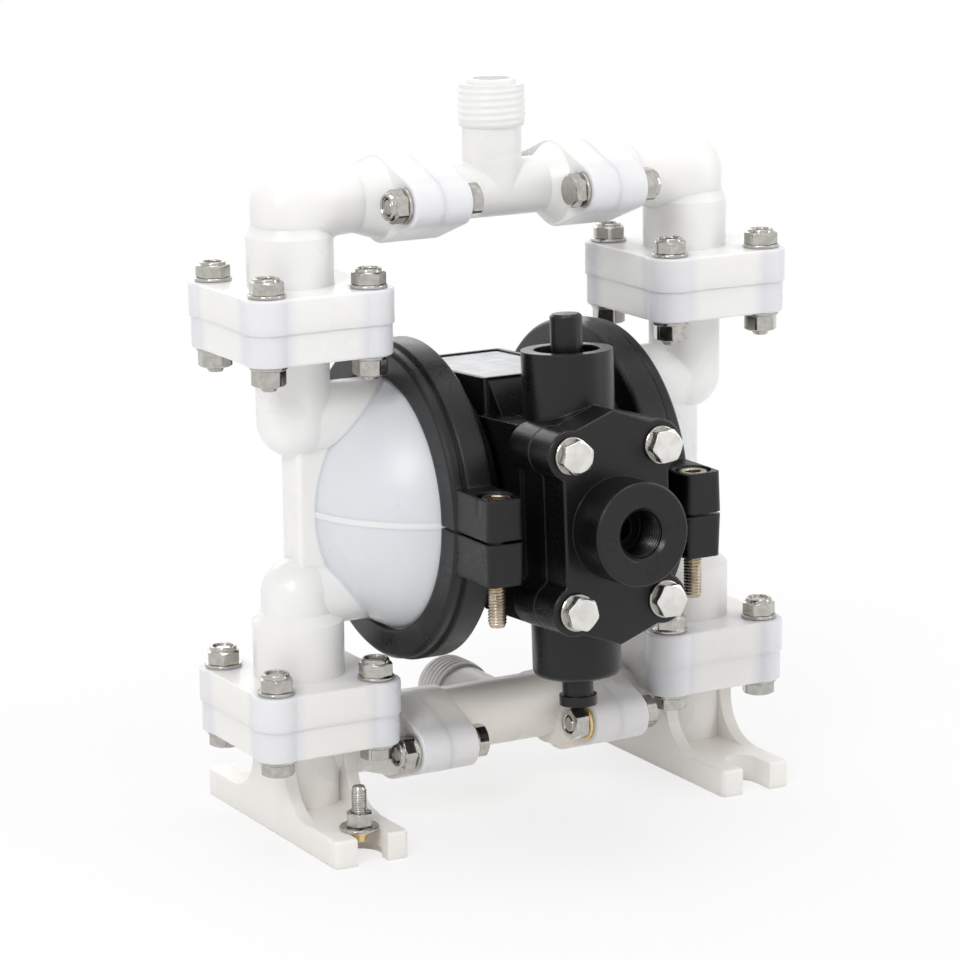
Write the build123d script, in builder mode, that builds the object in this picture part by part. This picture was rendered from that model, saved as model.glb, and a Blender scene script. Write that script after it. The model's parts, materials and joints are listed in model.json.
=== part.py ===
from build123d import *
from math import acos, cos, degrees, radians, sin, sqrt
import os

os.makedirs("parts", exist_ok=True)

# Air operated diaphragm pump. X runs along the diaphragm shaft, the air valve faces -Y,
# Z is up, and z = 0 is the underside of the feet. Millimetres and degrees.

# Overall layout
pipe_x = 73.5  # from the middle of the pump to each upright pipe
foot_flange_z = 30.3  # underside of the lowest flange
top_pipe_z = 203.6  # axis of the outlet manifold
bottom_pipe_z = 25.2  # axis of the inlet manifold
centre_turn = 3.0  # how far the centre section is turned in its clamps

# Four-bolt flanges between chambers and manifolds
flange_bolt_x = 17.75  # half the bolt spacing along X
flange_bolt_y = 19.5  # half the bolt spacing along Y
lower_flange = 10.4  # thickness of the lower flange of each pair
upper_flange = 11.0  # thickness of the upper flange of each pair
lower_lobe = 7.4  # corner radius around the bolts, lower flange
upper_lobe = 8.0  # corner radius around the bolts, upper flange
flange_inset = 0.8  # how far the sides sit back between the corners
flange_blend = 3.0
flange_edge = 0.8  # rounding of the flange rims
chamber_height = 105.8  # between the outer faces of a chamber's two flanges

# M6 fasteners
bolt_radius = 3.0
bolt_hole_radius = 3.3
thread_gap = 0.02
washer_radius = 6.0
washer_hole_radius = 3.2
washer_thickness = 1.2
hex_across = 10.0
head_height = 4.0
tall_head_height = 5.0
nut_height = 5.2
lock_nut_height = 4.3
lock_collar_height = 1.4
lock_collar_radius = 4.5
lock_thread_end = -0.6  # a bolt ends this far inside its lock nut
thread_end = 1.6  # how far a bolt stands out of its plain nut

# Check valves
ball_radius = 8.0
ball_lift = 5.0
ball_gap = 0.1
seat_radius = 12.0
seat_height = 4.0
seat_bore = 5.0
seat_mouth = 7.4
cage_radius = 10.4
cage_rib_gap = 0.4
cage_rib_width = 1.8
cage_rib_reach = 4.5  # inner end of the stops above the ball
cage_roof = 2.7
port_radius = 7.5  # bore of the upright pipes
recess_gap = 0.1
ring_seal_radius = 14.0
ring_seal_width = 2.0
ring_seal_height = 1.5
groove_gap = 0.1

# Manifolds
collar_radius = 13.9
collar_height = 15.5
collar_slope = 4.0
elbow_radius = 11.9
cross_radius = 10.3  # outside of the elbows' level pipes
cross_bore = 6.5
oval_joint_x = 32.35  # parting face of the two-bolt flanges
oval_thickness = 10.25
oval_bolt_y = 20.0
oval_lobe = 7.6
oval_body = 14.4
oval_flare = 9.0
tee_flare = 5.0
oval_flare_radius = 13.2
oval_edge = 0.8
tee_pipe_radius = 9.3
low_tee_pipe_radius = 11.0
low_tee_lift = 2.4  # the inlet run is thicker upwards
tee_seal_radius = 9.0

# Threaded spigots, G 1/2
spigot_radius = 10.48
spigot_length = 13.5
outlet_reach = 34.0  # from the outlet manifold's axis to the shoulder of its spigot
inlet_reach = 37.0  # from the middle of the pump to the shoulder of the inlet spigot
branch_radius = 9.6
rim_radius = 8.1
rim_height = 1.6
spigot_bore = 6.2

# Feet
foot_x = 72.25
foot_width = 26.1
foot_length = 94.8
foot_height = 9.0
foot_corner = 2.0
foot_edge = 1.0
slot_width = 10.8
slot_depth = 14.5
web_thickness = 4.2
web_half_width = 11.5
web_flare = 15.0
column_radius = 12.5

# Fluid chambers
rim_face_x = 37.2  # face of the chamber rim that presses on the diaphragm
rim_thickness = 3.7
rim_outer_radius = 48.3
dome_apex_x = 69.6
dome_mouth = 41.8  # outside radius of the dome where it meets the rim
dome_wall = 3.2
neck_radius = 11.9
foot_neck_radius = 14.8
foot_neck_height = 17.8
foot_neck_slope = 3.0
upper_port_rise = 30.4
lower_port_drop = 26.7
dome_branch_radius = 11.2
web_start_x = 50.0
web_x = 75.4
web_y = 6.5
web_edge = 1.5
seam_width = 2.0
seam_height = 0.5

# Diaphragms, plates and shaft
diaphragm_bead = 2.4
diaphragm_flat = 25.0
diaphragm_arch = 3.2
diaphragm_web = 1.9
diaphragm_clamp = 41.0
plate_radius = 24.0
plate_slope = 7.4
plate_edge = 1.5
inner_plate = 3.5
outer_plate = 4.6
stud_radius = 3.95
stud_gap = 0.05
stud_length = 16.0
stud_hole_depth = 12.0
shaft_radius = 7.0
shaft_edge = 0.8
bush_gap = 0.05
bush_radius = 9.0
bush_length = 11.0
shaft_seal_radius = 9.5
shaft_seal_length = 2.8
stroke = 6.0  # the shaft moves this far either way
pilot_radius = 3.0
pilot_edge = 0.5
pilot_gap = 0.05
pilot_rise = 16.0
pilot_stroke = 2.0
pilot_end_gap = 0.3
free_gap = 0.3  # round a shaft or rod where nothing guides it

# Air chamber plates
air_rim = 3.7
air_cup_radius = 43.0
air_back_radius = 41.5
air_wall_x = 21.5
air_floor_x = 24.6
air_floor_radius = 30.0
air_cup_slope_x = 30.0
air_cup_slope_radius = 38.5
air_boss_radius = 26.5
air_boss_slope = 1.8
air_screw_circle = 22.5
air_screw_radius = 2.0
air_screw_hole = 2.2
air_screw_head = 3.8
air_screw_head_height = 2.7
air_screw_length = 10.0
air_screw_socket = 1.5

# Clamp bands
band_outer_x = 43.3
band_inner_x = 28.7
band_radius = 52.5
band_lip_radius = 51.6
band_lip_width = 3.7
band_groove = 0.8
band_groove_depth = 1.6
band_edge = 1.0
band_mouth_gap = 0.4
band_channel_gap = 0.4
band_split = 1.0
ear_width = 13.4
ear_start_y = 48.8
ear_end_y = 72.0
ear_bolt_y = 64.5
ear_rise = 13.4
ear_drop = 14.1
ear_draft = 2.0
ear_corner = 2.5
socket_recess_radius = 5.9
socket_recess_depth = 6.4
socket_head_radius = 5.0
socket_head_height = 6.0
socket_across = 5.0
socket_depth = 3.0
clamp_bolt_length = 35.4
insert_radius = 4.4
insert_length = 8.0

# Centre housing, in the frame that is turned with the centre section
box_width = 38.0
box_length = 57.0
box_top = 41.0
box_bottom = -34.0
box_corner = 1.5
plate_recess = 1.0
plate_border = 1.8
shoulder_y = 37.0
shoulder_width = 34.0
valve_drop = 2.65  # the air valve sits this far below the shaft
valve_y = 49.7  # axis of the air valve, in front of the shaft
valve_block_width = 41.0
valve_block_top = 29.0
valve_flange_back = 53.0
valve_flange_front = 65.2
valve_blend = 2.0
gasket_thickness = 0.8
cover_thickness = 12.0
cover_apex = 37.4
cover_waist = 19.1
cover_shoulder = 30.4
cover_bolt_x = 16.15
cover_bolt_z = 24.62
cover_lobe = 8.0
cover_edge = 0.8
cover_bolt_length = 24.0
inlet_boss_radius = 16.4
inlet_boss_length = 14.8
inlet_bore = 7.475  # tapping size for G 3/8
inlet_depth = 14.0
inlet_chamfer = 1.2
air_way = 4.0
small_way = 2.2
side_way = 1.8
link_way = 2.7
cup_radius = 14.7
cup_bore = 10.6
cup_top = 50.8
cup_floor = 38.0
low_cylinder_radius = 14.3
low_cylinder_end = -54.4
low_cylinder_edge = 2.5
valve_bore = 9.0
valve_bore_bottom = -44.0
sleeve_bore = 6.5
sleeve_gap = 0.05
sleeve_groove = 1.2
port_pitch = 10.0
port_width = 4.0
port_hole = 1.5
spool_gap = 0.05
spool_waist = 4.2
spool_waist_start = 4.0
spool_waist_end = 16.0
spool_ring_depth = 1.3
spool_ring_width = 1.6
spool_ring_places = (1.2, 17.8, 32.0)
ring_gap = 0.02
pin_radius = 5.15
pin_gap = 0.06
pin_top = 62.1
pin_edge = 0.8
low_pin_radius = 5.0
low_pin_end = -64.3
low_pin_flange_radius = 6.1
low_pin_flange = 3.3
spool_travel = 6.0
spool_end_gap = 0.3
plug_thickness = 4.0
way_y = 17.0
way_x = 6.0
exhaust_way_y = 37.0
exhaust_z = -20.0
exhaust_way = 3.5
way_end = 1.0  # the drilled ways run this far past each other

# Exhaust
exhaust_boss_radius = 12.5
exhaust_boss_length = 4.0
exhaust_bore = 8.3
exhaust_depth = 11.0
silencer_thread_radius = 8.25
silencer_thread_length = 9.0
silencer_radius = 11.0
silencer_length = 30.0
silencer_edge = 2.0
silencer_slots = 12
silencer_slot_width = 1.6
silencer_slot_depth = 1.6
silencer_slot_start = 6.0
silencer_slot_length = 18.6
silencer_bore = 5.5
silencer_end_wall = 6.0

# Earth terminal in the left front slot
earth_radius = 2.5
earth_gap = 0.02
earth_top = 23.2
earth_head_radius = 6.6
earth_head_height = 2.5
earth_recess_radius = 7.2
earth_recess_depth = 3.0
earth_nut_across = 8.0
earth_nut_height = 4.6
earth_washer_radius = 6.4
earth_washer_hole = 2.7
earth_washer_height = 1.2

# Places that follow from the sizes above
lower_joint_z = foot_flange_z + lower_flange
foot_neck_z = lower_joint_z + upper_flange
chamber_top_z = foot_neck_z + chamber_height
upper_joint_z = chamber_top_z + lower_flange
manifold_top_z = upper_joint_z + upper_flange
shaft_z = (foot_neck_z + chamber_top_z) / 2
upper_port_z = shaft_z + upper_port_rise
lower_port_z = shaft_z - lower_port_drop
rim_back_x = rim_face_x + rim_thickness
bead_back_x = rim_face_x - diaphragm_bead
air_rim_x = bead_back_x - air_rim
air_hub_x = box_width / 2
inner_plate_x = bead_back_x - inner_plate
band_x = (band_outer_x + band_inner_x) / 2
oval_outer_x = oval_joint_x + oval_thickness
oval_inner_x = oval_joint_x - oval_thickness
dome_rise = dome_apex_x - rim_back_x
dome_radius = (dome_mouth**2 + dome_rise**2) / (2 * dome_rise)
dome_centre_x = dome_apex_x - dome_radius
dome_inside = dome_radius - dome_wall
seat_touch = ball_radius * sin(radians(45))
ball_rise = seat_touch - (seat_mouth - seat_touch) + ball_gap
stop_rise = ball_rise + ball_lift + sqrt(ball_radius**2 - cage_rib_reach**2) + ball_gap
cage_height = stop_rise + cage_roof
cage_top = cage_height + cage_radius - port_radius
cover_back = valve_flange_front + gasket_thickness
cover_front = cover_back + cover_thickness
inlet_face = cover_front + inlet_boss_length
valve_z = -valve_drop
plug_bottom = cup_floor - plug_thickness
spool_radius = sleeve_bore - spool_gap
spool_top = plug_bottom - spool_end_gap
spool_bottom = valve_bore_bottom + spool_end_gap + spool_travel
spool_middle = (spool_top + spool_bottom) / 2
port_middle = spool_middle - spool_travel / 2
left_way_z = port_middle + port_pitch
right_way_z = port_middle - port_pitch
pilot_half = inner_plate_x - stroke + pilot_stroke - pilot_end_gap
air_screw_x = air_floor_x - air_screw_head_height - free_gap
slot_end_y = foot_length / 2 - slot_depth + slot_width / 2
exhaust_face = box_length / 2 + exhaust_boss_length
full_lock_nut = lock_nut_height + lock_collar_height
joint_height = lower_flange + upper_flange
low_run_z = bottom_pipe_z + low_tee_lift

lean = Plane(
    origin=(0, 0, shaft_z),
    x_dir=(1, 0, 0),
    z_dir=(0, sin(radians(centre_turn)), cos(radians(centre_turn))),
)


def leaned(plane):
    """Turns a plane about the shaft together with the centre section."""
    return Plane(lean.location * plane.location)


def valve_face(distance):
    """A plane of the centre section that faces the air inlet side, level with the air valve."""
    return leaned(Plane(origin=(0, -distance, valve_z), x_dir=(1, 0, 0), z_dir=(0, -1, 0)))


def rearward(x, y, z):
    """A plane of the centre section that faces away from the air inlet side."""
    return leaned(Plane(origin=(x, y, z), x_dir=(-1, 0, 0), z_dir=(0, 1, 0)))


def level(height, y=0.0):
    """A level plane of the centre section, measured from the shaft."""
    return leaned(Plane((0, y, height)))


def valve_level(height):
    """A level plane with its origin on the air valve's axis."""
    return level(height, -valve_y)


def side(x):
    """An upright plane of the centre section that faces +X: its x is Y and its y is Z."""
    return leaned(Plane.YZ.offset(x))


def outward(x, z, y=0.0):
    """An upright plane that faces +X."""
    return Plane(origin=(x, y, z), x_dir=(0, 1, 0), z_dir=(1, 0, 0))


def inward(x, z, y=0.0):
    """An upright plane that faces -X."""
    return Plane(origin=(x, y, z), x_dir=(0, -1, 0), z_dir=(-1, 0, 0))


def upward(x, y, z):
    return Plane((x, y, z))


def downward(x, y, z):
    return Plane(origin=(x, y, z), x_dir=(1, 0, 0), z_dir=(0, 0, -1))


pipe_section = Plane(origin=(pipe_x, 0, 0), x_dir=(1, 0, 0), z_dir=(0, -1, 0))
shaft_section = Plane(origin=(0, 0, shaft_z), x_dir=(1, 0, 0), z_dir=(0, -1, 0))
pipe_axis = Axis((pipe_x, 0, 0), (0, 0, 1))
shaft_axis = Axis((0, 0, shaft_z), (1, 0, 0))
valve_axis = Axis(valve_level(0).origin, lean.z_dir)
inlet_axis = Axis(lean.origin, valve_face(0).z_dir)


def save(piece, name):
    piece.part.label = name
    export_step(piece.part, f"parts/{name}.step")


def save_pair(piece, name):
    """Writes a right-hand piece and its mirror image on the left."""
    save(piece, f"right_{name}")
    with BuildPart() as twin:
        mirror(piece.part, about=Plane.YZ)
    save(twin, f"left_{name}")


def turned(points, plane, axis, mode=Mode.ADD):
    """Revolves a closed outline."""
    with BuildSketch(plane) as shape:
        with BuildLine():
            Polyline(*points, close=True)
        make_face()
    revolve(shape.sketch, axis=axis, mode=mode)


def rod(plane, radius, length, mode=Mode.ADD):
    """A round bar or hole that starts on a plane."""
    with BuildSketch(plane) as shape:
        Circle(radius)
    extrude(shape.sketch, amount=length, mode=mode)


def tube(plane, outer, inner, length):
    with BuildSketch(plane) as shape:
        Circle(outer)
        Circle(inner, mode=Mode.SUBTRACT)
    extrude(shape.sketch, amount=length)


def flare(plane, near, far, length, mode=Mode.ADD):
    """A cone that starts on a plane."""
    with Locations(plane):
        Cone(near, far, length, align=(Align.CENTER, Align.CENTER, Align.MIN), mode=mode)


def flange_block(z, height, lobe):
    """A square flange with a round lobe at each bolt."""
    edge = lobe - flange_inset
    with BuildSketch(Plane((pipe_x, 0, z))) as shape:
        RectangleRounded(2 * (flange_bolt_x + edge), 2 * (flange_bolt_y + edge), edge)
        with GridLocations(2 * flange_bolt_x, 2 * flange_bolt_y, 2, 2):
            Circle(lobe)
        fillet(vertices(), flange_blend)
    extrude(shape.sketch, amount=height)


def flange_holes(z, height):
    with BuildSketch(Plane((pipe_x, 0, z))) as shape:
        with GridLocations(2 * flange_bolt_x, 2 * flange_bolt_y, 2, 2):
            Circle(bolt_hole_radius)
    extrude(shape.sketch, amount=height, mode=Mode.SUBTRACT)


def seat_pocket(z):
    """The recess for a valve seat and the groove for its ring seal, below a joint face."""
    rod(Plane((pipe_x, 0, z)), seat_radius + recess_gap, -seat_height, Mode.SUBTRACT)
    with BuildSketch(Plane((pipe_x, 0, z))) as shape:
        Circle(ring_seal_radius + ring_seal_width / 2 + groove_gap)
        Circle(ring_seal_radius - ring_seal_width / 2 - groove_gap, mode=Mode.SUBTRACT)
    extrude(shape.sketch, amount=-ring_seal_height, mode=Mode.SUBTRACT)


def ball_cage(z):
    """The cage above a joint face: a wide bore with four ribs that guide and stop the ball."""
    roof = z + cage_height
    outline = [(0, z), (cage_radius, z), (cage_radius, roof), (port_radius, z + cage_top), (0, z + cage_top)]
    turned(outline, pipe_section, pipe_axis, Mode.SUBTRACT)
    guide = ball_radius + cage_rib_gap
    wall = cage_radius + cage_rib_gap
    for angle in (45, 135, 225, 315):
        across = (cos(radians(angle)), sin(radians(angle)), 0)
        facing = (sin(radians(angle)), -cos(radians(angle)), 0)
        with BuildSketch(Plane(origin=(pipe_x, 0, z), x_dir=across, z_dir=facing)) as shape:
            with BuildLine():
                Polyline(
                    (guide, ball_rise),
                    (wall, ball_rise),
                    (wall, cage_height),
                    (cage_rib_reach, cage_height),
                    (cage_rib_reach, stop_rise),
                    (guide, stop_rise),
                    close=True,
                )
            make_face()
        extrude(shape.sketch, amount=cage_rib_width / 2, both=True)


def oval_block(x, z, length):
    """A two-bolt flange, long way along Y."""
    slope = (oval_body - oval_lobe) / oval_bolt_y
    rise = sqrt(1 - slope**2)
    near = (oval_body * slope, oval_body * rise)
    far = (oval_bolt_y + oval_lobe * slope, oval_lobe * rise)
    half = [(-far[0], far[1]), (-near[0], near[1]), near, far]
    with BuildSketch(outward(x, z)) as shape:
        with BuildLine():
            Polyline(*half, *[(across, -up) for across, up in reversed(half)], close=True)
        make_face()
        Circle(oval_body)
        with Locations((oval_bolt_y, 0), (-oval_bolt_y, 0)):
            Circle(oval_lobe)
    extrude(shape.sketch, amount=length)


def oval_holes(x, z, length):
    with BuildSketch(outward(x, z)) as shape:
        with Locations((oval_bolt_y, 0), (-oval_bolt_y, 0)):
            Circle(bolt_hole_radius)
    extrude(shape.sketch, amount=length, mode=Mode.SUBTRACT)


def spigot(plane, reach):
    """A threaded spigot on its branch pipe."""
    rod(plane, branch_radius, reach)
    rod(plane.offset(reach - spigot_length), spigot_radius, spigot_length)
    rod(plane.offset(reach), rim_radius, rim_height)


def add_bolt(plane, height, length):
    """A hexagon bolt with the underside of its head on the plane."""
    with BuildSketch(plane) as shape:
        RegularPolygon(hex_across / 2, 6, major_radius=False)
    extrude(shape.sketch, amount=height)
    rod(plane, bolt_radius, -length)


def add_nut(plane, height):
    with BuildSketch(plane) as shape:
        RegularPolygon(hex_across / 2, 6, major_radius=False)
        Circle(bolt_radius + thread_gap, mode=Mode.SUBTRACT)
    extrude(shape.sketch, amount=height)


def add_lock_nut(plane):
    add_nut(plane, lock_nut_height)
    tube(plane.offset(lock_nut_height), lock_collar_radius, bolt_radius + thread_gap, lock_collar_height)


def add_washer(plane):
    tube(plane, washer_radius, washer_hole_radius, washer_thickness)


# Outlet elbows: flange, ball cage in a collar, round bend, level pipe and two-bolt flange
with BuildPart() as outlet_elbow:
    oval_block(oval_joint_x, top_pipe_z, oval_thickness)
    fillet(edges().group_by(Axis.X)[-1], oval_edge)
    flange_block(upper_joint_z, upper_flange, upper_lobe)
    fillet(edges(Select.LAST).group_by(Axis.Z)[-1], flange_edge)
    collar_top = manifold_top_z + collar_height
    turned(
        [
            (0, manifold_top_z - 1),
            (collar_radius, manifold_top_z - 1),
            (collar_radius, collar_top),
            (elbow_radius, collar_top + collar_slope),
            (elbow_radius, top_pipe_z),
            (0, top_pipe_z),
        ],
        pipe_section,
        pipe_axis,
    )
    with Locations((pipe_x, 0, top_pipe_z)):
        Sphere(elbow_radius)
    rod(outward(oval_joint_x, top_pipe_z), cross_radius, pipe_x - oval_joint_x)
    flare(outward(oval_outer_x, top_pipe_z), oval_flare_radius, cross_radius, oval_flare)
    bore_start = upper_joint_z + cage_top
    rod(Plane((pipe_x, 0, bore_start)), port_radius, top_pipe_z - bore_start, Mode.SUBTRACT)
    with Locations((pipe_x, 0, top_pipe_z)):
        Sphere(port_radius, mode=Mode.SUBTRACT)
    rod(outward(oval_joint_x, top_pipe_z), cross_bore, pipe_x - oval_joint_x, Mode.SUBTRACT)
    ball_cage(upper_joint_z)
    flange_holes(upper_joint_z, upper_flange)
    oval_holes(oval_joint_x, top_pipe_z, oval_thickness)
save_pair(outlet_elbow, "outlet_elbow")


def tee(z, run_z, run_radius, branch_plane, reach):
    """The middle of a manifold: a level run between two-bolt flanges with a threaded branch."""
    oval_block(oval_inner_x, z, oval_thickness)
    fillet(edges().group_by(Axis.X)[0], oval_edge)
    mirror(about=Plane.YZ)
    rod(inward(oval_joint_x, run_z), run_radius, 2 * oval_joint_x)
    flare(inward(oval_inner_x, z), oval_flare_radius, run_radius, tee_flare)
    flare(outward(-oval_inner_x, z), oval_flare_radius, run_radius, tee_flare)
    spigot(branch_plane, reach)
    rod(inward(oval_joint_x, z), cross_bore, 2 * oval_joint_x, Mode.SUBTRACT)
    rod(branch_plane, spigot_bore, reach + rim_height, Mode.SUBTRACT)
    for face in (inward(oval_joint_x, z), outward(-oval_joint_x, z)):
        with BuildSketch(face) as shape:
            Circle(tee_seal_radius + ring_seal_width / 2 + groove_gap)
            Circle(tee_seal_radius - ring_seal_width / 2 - groove_gap, mode=Mode.SUBTRACT)
        extrude(shape.sketch, amount=ring_seal_height, mode=Mode.SUBTRACT)
    oval_holes(oval_inner_x, z, oval_thickness)
    oval_holes(-oval_joint_x, z, oval_thickness)


with BuildPart() as outlet_tee:
    tee(top_pipe_z, top_pipe_z, tee_pipe_radius, upward(0, 0, top_pipe_z), outlet_reach)
save(outlet_tee, "outlet_tee")

inlet_plane = Plane(origin=(0, 0, low_run_z), x_dir=(-1, 0, 0), z_dir=(0, 1, 0))
with BuildPart() as inlet_tee:
    tee(bottom_pipe_z, low_run_z, low_tee_pipe_radius, inlet_plane, inlet_reach)
save(inlet_tee, "inlet_tee")


def foot():
    """A foot: slotted bar, two webs, the lower pipe bend, its flange and its two-bolt flange."""
    oval_block(oval_joint_x, bottom_pipe_z, oval_thickness)
    fillet(edges().group_by(Axis.X)[-1], oval_edge)
    flange_block(foot_flange_z, lower_flange, lower_lobe)
    fillet(edges(Select.LAST).group_by(Axis.Z)[0], flange_edge)
    with BuildSketch(Plane((foot_x, 0, 0))) as shape:
        RectangleRounded(foot_width, foot_length, foot_corner)
    extrude(shape.sketch, amount=foot_height)
    fillet(edges(Select.LAST).group_by(Axis.Z)[-1], foot_edge)
    top = foot_flange_z - foot_height
    end = web_half_width + web_flare
    for x in (foot_x - foot_width / 2, foot_x + foot_width / 2 - web_thickness):
        with BuildSketch(outward(x, foot_height)) as shape:
            with BuildLine():
                Line((-end, -foot_edge), (end, -foot_edge))
                Line((end, -foot_edge), (end, 0))
                CenterArc((end, web_flare), web_flare, 270, -90)
                Line((web_half_width, web_flare), (web_half_width, top))
                Line((web_half_width, top), (-web_half_width, top))
                Line((-web_half_width, top), (-web_half_width, web_flare))
                CenterArc((-end, web_flare), web_flare, 0, -90)
                Line((-end, 0), (-end, -foot_edge))
            make_face()
        extrude(shape.sketch, amount=web_thickness)
    rod(Plane((pipe_x, 0, foot_edge)), column_radius, foot_flange_z - foot_edge)
    rod(outward(oval_joint_x, bottom_pipe_z), cross_radius, pipe_x - oval_joint_x)
    flare(outward(oval_outer_x, bottom_pipe_z), oval_flare_radius, cross_radius, oval_flare)
    rod(Plane((pipe_x, 0, bottom_pipe_z)), port_radius, lower_joint_z - bottom_pipe_z, Mode.SUBTRACT)
    with Locations((pipe_x, 0, bottom_pipe_z)):
        Sphere(port_radius, mode=Mode.SUBTRACT)
    rod(outward(oval_joint_x, bottom_pipe_z), cross_bore, pipe_x - oval_joint_x, Mode.SUBTRACT)
    seat_pocket(lower_joint_z)
    with BuildSketch(Plane((foot_x, 0, 0))) as shape:
        with Locations((0, slot_end_y), (0, -slot_end_y)):
            Circle(slot_width / 2)
        with Locations((0, slot_end_y + foot_length / 2), (0, -slot_end_y - foot_length / 2)):
            Rectangle(slot_width, foot_length)
    extrude(shape.sketch, amount=foot_height, mode=Mode.SUBTRACT)
    flange_holes(foot_flange_z, lower_flange)
    oval_holes(oval_joint_x, bottom_pipe_z, oval_thickness)


with BuildPart() as right_foot:
    foot()
save(right_foot, "right_foot")
with BuildPart() as left_foot:
    mirror(right_foot.part, about=Plane.YZ)
    rod(Plane((-foot_x, -slot_end_y, 0)), earth_recess_radius, earth_recess_depth, Mode.SUBTRACT)
save(left_foot, "left_foot")

def dome(start_x, radius, mode=Mode.ADD):
    """The cap of a ball round the dome's centre, outside an upright plane."""
    reach = start_x - dome_centre_x
    with BuildSketch(shaft_section) as shape:
        with BuildLine():
            Line((start_x, 0), (start_x, sqrt(radius**2 - reach**2)))
            CenterArc((dome_centre_x, 0), radius, 0, degrees(acos(reach / radius)))
            Line((dome_centre_x + radius, 0), (start_x, 0))
        make_face()
    revolve(shape.sketch, axis=shaft_axis, mode=mode)


# Fluid chambers: dome with a clamping rim, and pipes up and down to the check valves
with BuildPart() as fluid_chamber:
    flange_block(lower_joint_z, upper_flange, upper_lobe)
    fillet(edges().group_by(Axis.Z)[-1], flange_edge)
    flange_block(chamber_top_z, lower_flange, lower_lobe)
    fillet(edges(Select.LAST).group_by(Axis.Z)[0], flange_edge)
    with BuildSketch(Plane((dome_centre_x, 0, shaft_z - seam_width / 2))):
        Circle(dome_radius + seam_height)
    extrude(amount=seam_width)
    split(bisect_by=outward(rim_back_x, shaft_z), keep=Keep.TOP)
    dome(rim_back_x, dome_radius)
    neck_top = foot_neck_z + foot_neck_height
    turned(
        [
            (0, foot_neck_z - 1),
            (foot_neck_radius, foot_neck_z - 1),
            (foot_neck_radius, neck_top),
            (neck_radius, neck_top + foot_neck_slope),
            (neck_radius, lower_port_z),
            (0, lower_port_z),
        ],
        pipe_section,
        pipe_axis,
    )
    rod(Plane((pipe_x, 0, upper_port_z)), neck_radius, chamber_top_z - upper_port_z)
    for port_z in (lower_port_z, upper_port_z):
        with Locations((pipe_x, 0, port_z)):
            Sphere(neck_radius)
        rod(outward(rim_back_x, port_z), dome_branch_radius, pipe_x - rim_back_x)
    with BuildSketch(Plane(((web_start_x + web_x) / 2, 0, lower_port_z))):
        RectangleRounded(web_x - web_start_x, 2 * web_y, web_edge)
    extrude(amount=upper_port_z - lower_port_z)
    rod(outward(rim_face_x, shaft_z), rim_outer_radius, rim_thickness)
    dome(rim_face_x, dome_inside, Mode.SUBTRACT)
    low_bore = lower_joint_z + cage_top
    rod(Plane((pipe_x, 0, low_bore)), port_radius, lower_port_z - low_bore, Mode.SUBTRACT)
    rod(Plane((pipe_x, 0, upper_port_z)), port_radius, upper_joint_z - upper_port_z, Mode.SUBTRACT)
    for port_z in (lower_port_z, upper_port_z):
        with Locations((pipe_x, 0, port_z)):
            Sphere(port_radius, mode=Mode.SUBTRACT)
        rod(outward(rim_back_x, port_z), cross_bore, pipe_x - rim_back_x, Mode.SUBTRACT)
    seat_pocket(upper_joint_z)
    ball_cage(lower_joint_z)
    flange_holes(lower_joint_z, upper_flange)
    flange_holes(chamber_top_z, lower_flange)
save_pair(fluid_chamber, "fluid_chamber")

# Check valve seats and balls, and the ring seals of the joints
for joint_z, place in ((lower_joint_z, "suction"), (upper_joint_z, "discharge")):
    with BuildPart() as seat:
        turned(
            [
                (seat_bore, joint_z - seat_height),
                (seat_radius, joint_z - seat_height),
                (seat_radius, joint_z),
                (seat_mouth, joint_z),
                (seat_bore, joint_z - seat_mouth + seat_bore),
            ],
            pipe_section,
            pipe_axis,
        )
    save_pair(seat, f"{place}_seat")
    with BuildPart() as ball:
        with Locations((pipe_x, 0, joint_z + ball_rise)):
            Sphere(ball_radius)
    save_pair(ball, f"{place}_ball")

seal_half = ring_seal_width / 2
with BuildPart() as flange_seals:
    for x in (-pipe_x, pipe_x):
        for joint_z in (lower_joint_z, upper_joint_z):
            face = downward(x, 0, joint_z)
            tube(face, ring_seal_radius + seal_half, ring_seal_radius - seal_half, ring_seal_height)
save(flange_seals, "flange_seals")

with BuildPart() as manifold_seals:
    for z in (bottom_pipe_z, top_pipe_z):
        for face in (inward(oval_joint_x, z), outward(-oval_joint_x, z)):
            tube(face, tee_seal_radius + seal_half, tee_seal_radius - seal_half, ring_seal_height)
save(manifold_seals, "manifold_seals")

# Diaphragms with a flat bead at the rim and an arch between the bead and the plates
with BuildPart() as diaphragm:
    with BuildSketch(shaft_section):
        with BuildLine():
            hole = stud_radius + stud_gap
            arch_middle = (diaphragm_flat + diaphragm_clamp) / 2
            arch_top = bead_back_x - diaphragm_arch
            inner_start = diaphragm_flat + diaphragm_web / 2
            inner_end = diaphragm_clamp - diaphragm_web / 2
            Polyline((rim_face_x, inner_start), (rim_face_x, hole), (bead_back_x, hole), (bead_back_x, diaphragm_flat))
            ThreePointArc((bead_back_x, diaphragm_flat), (arch_top, arch_middle), (bead_back_x, diaphragm_clamp))
            Polyline(
                (bead_back_x, diaphragm_clamp),
                (bead_back_x, rim_outer_radius),
                (rim_face_x, rim_outer_radius),
                (rim_face_x, inner_end),
            )
            ThreePointArc((rim_face_x, inner_end), (arch_top + diaphragm_web, arch_middle), (rim_face_x, inner_start))
        make_face()
    revolve(axis=shaft_axis)
save_pair(diaphragm, "diaphragm")

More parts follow.
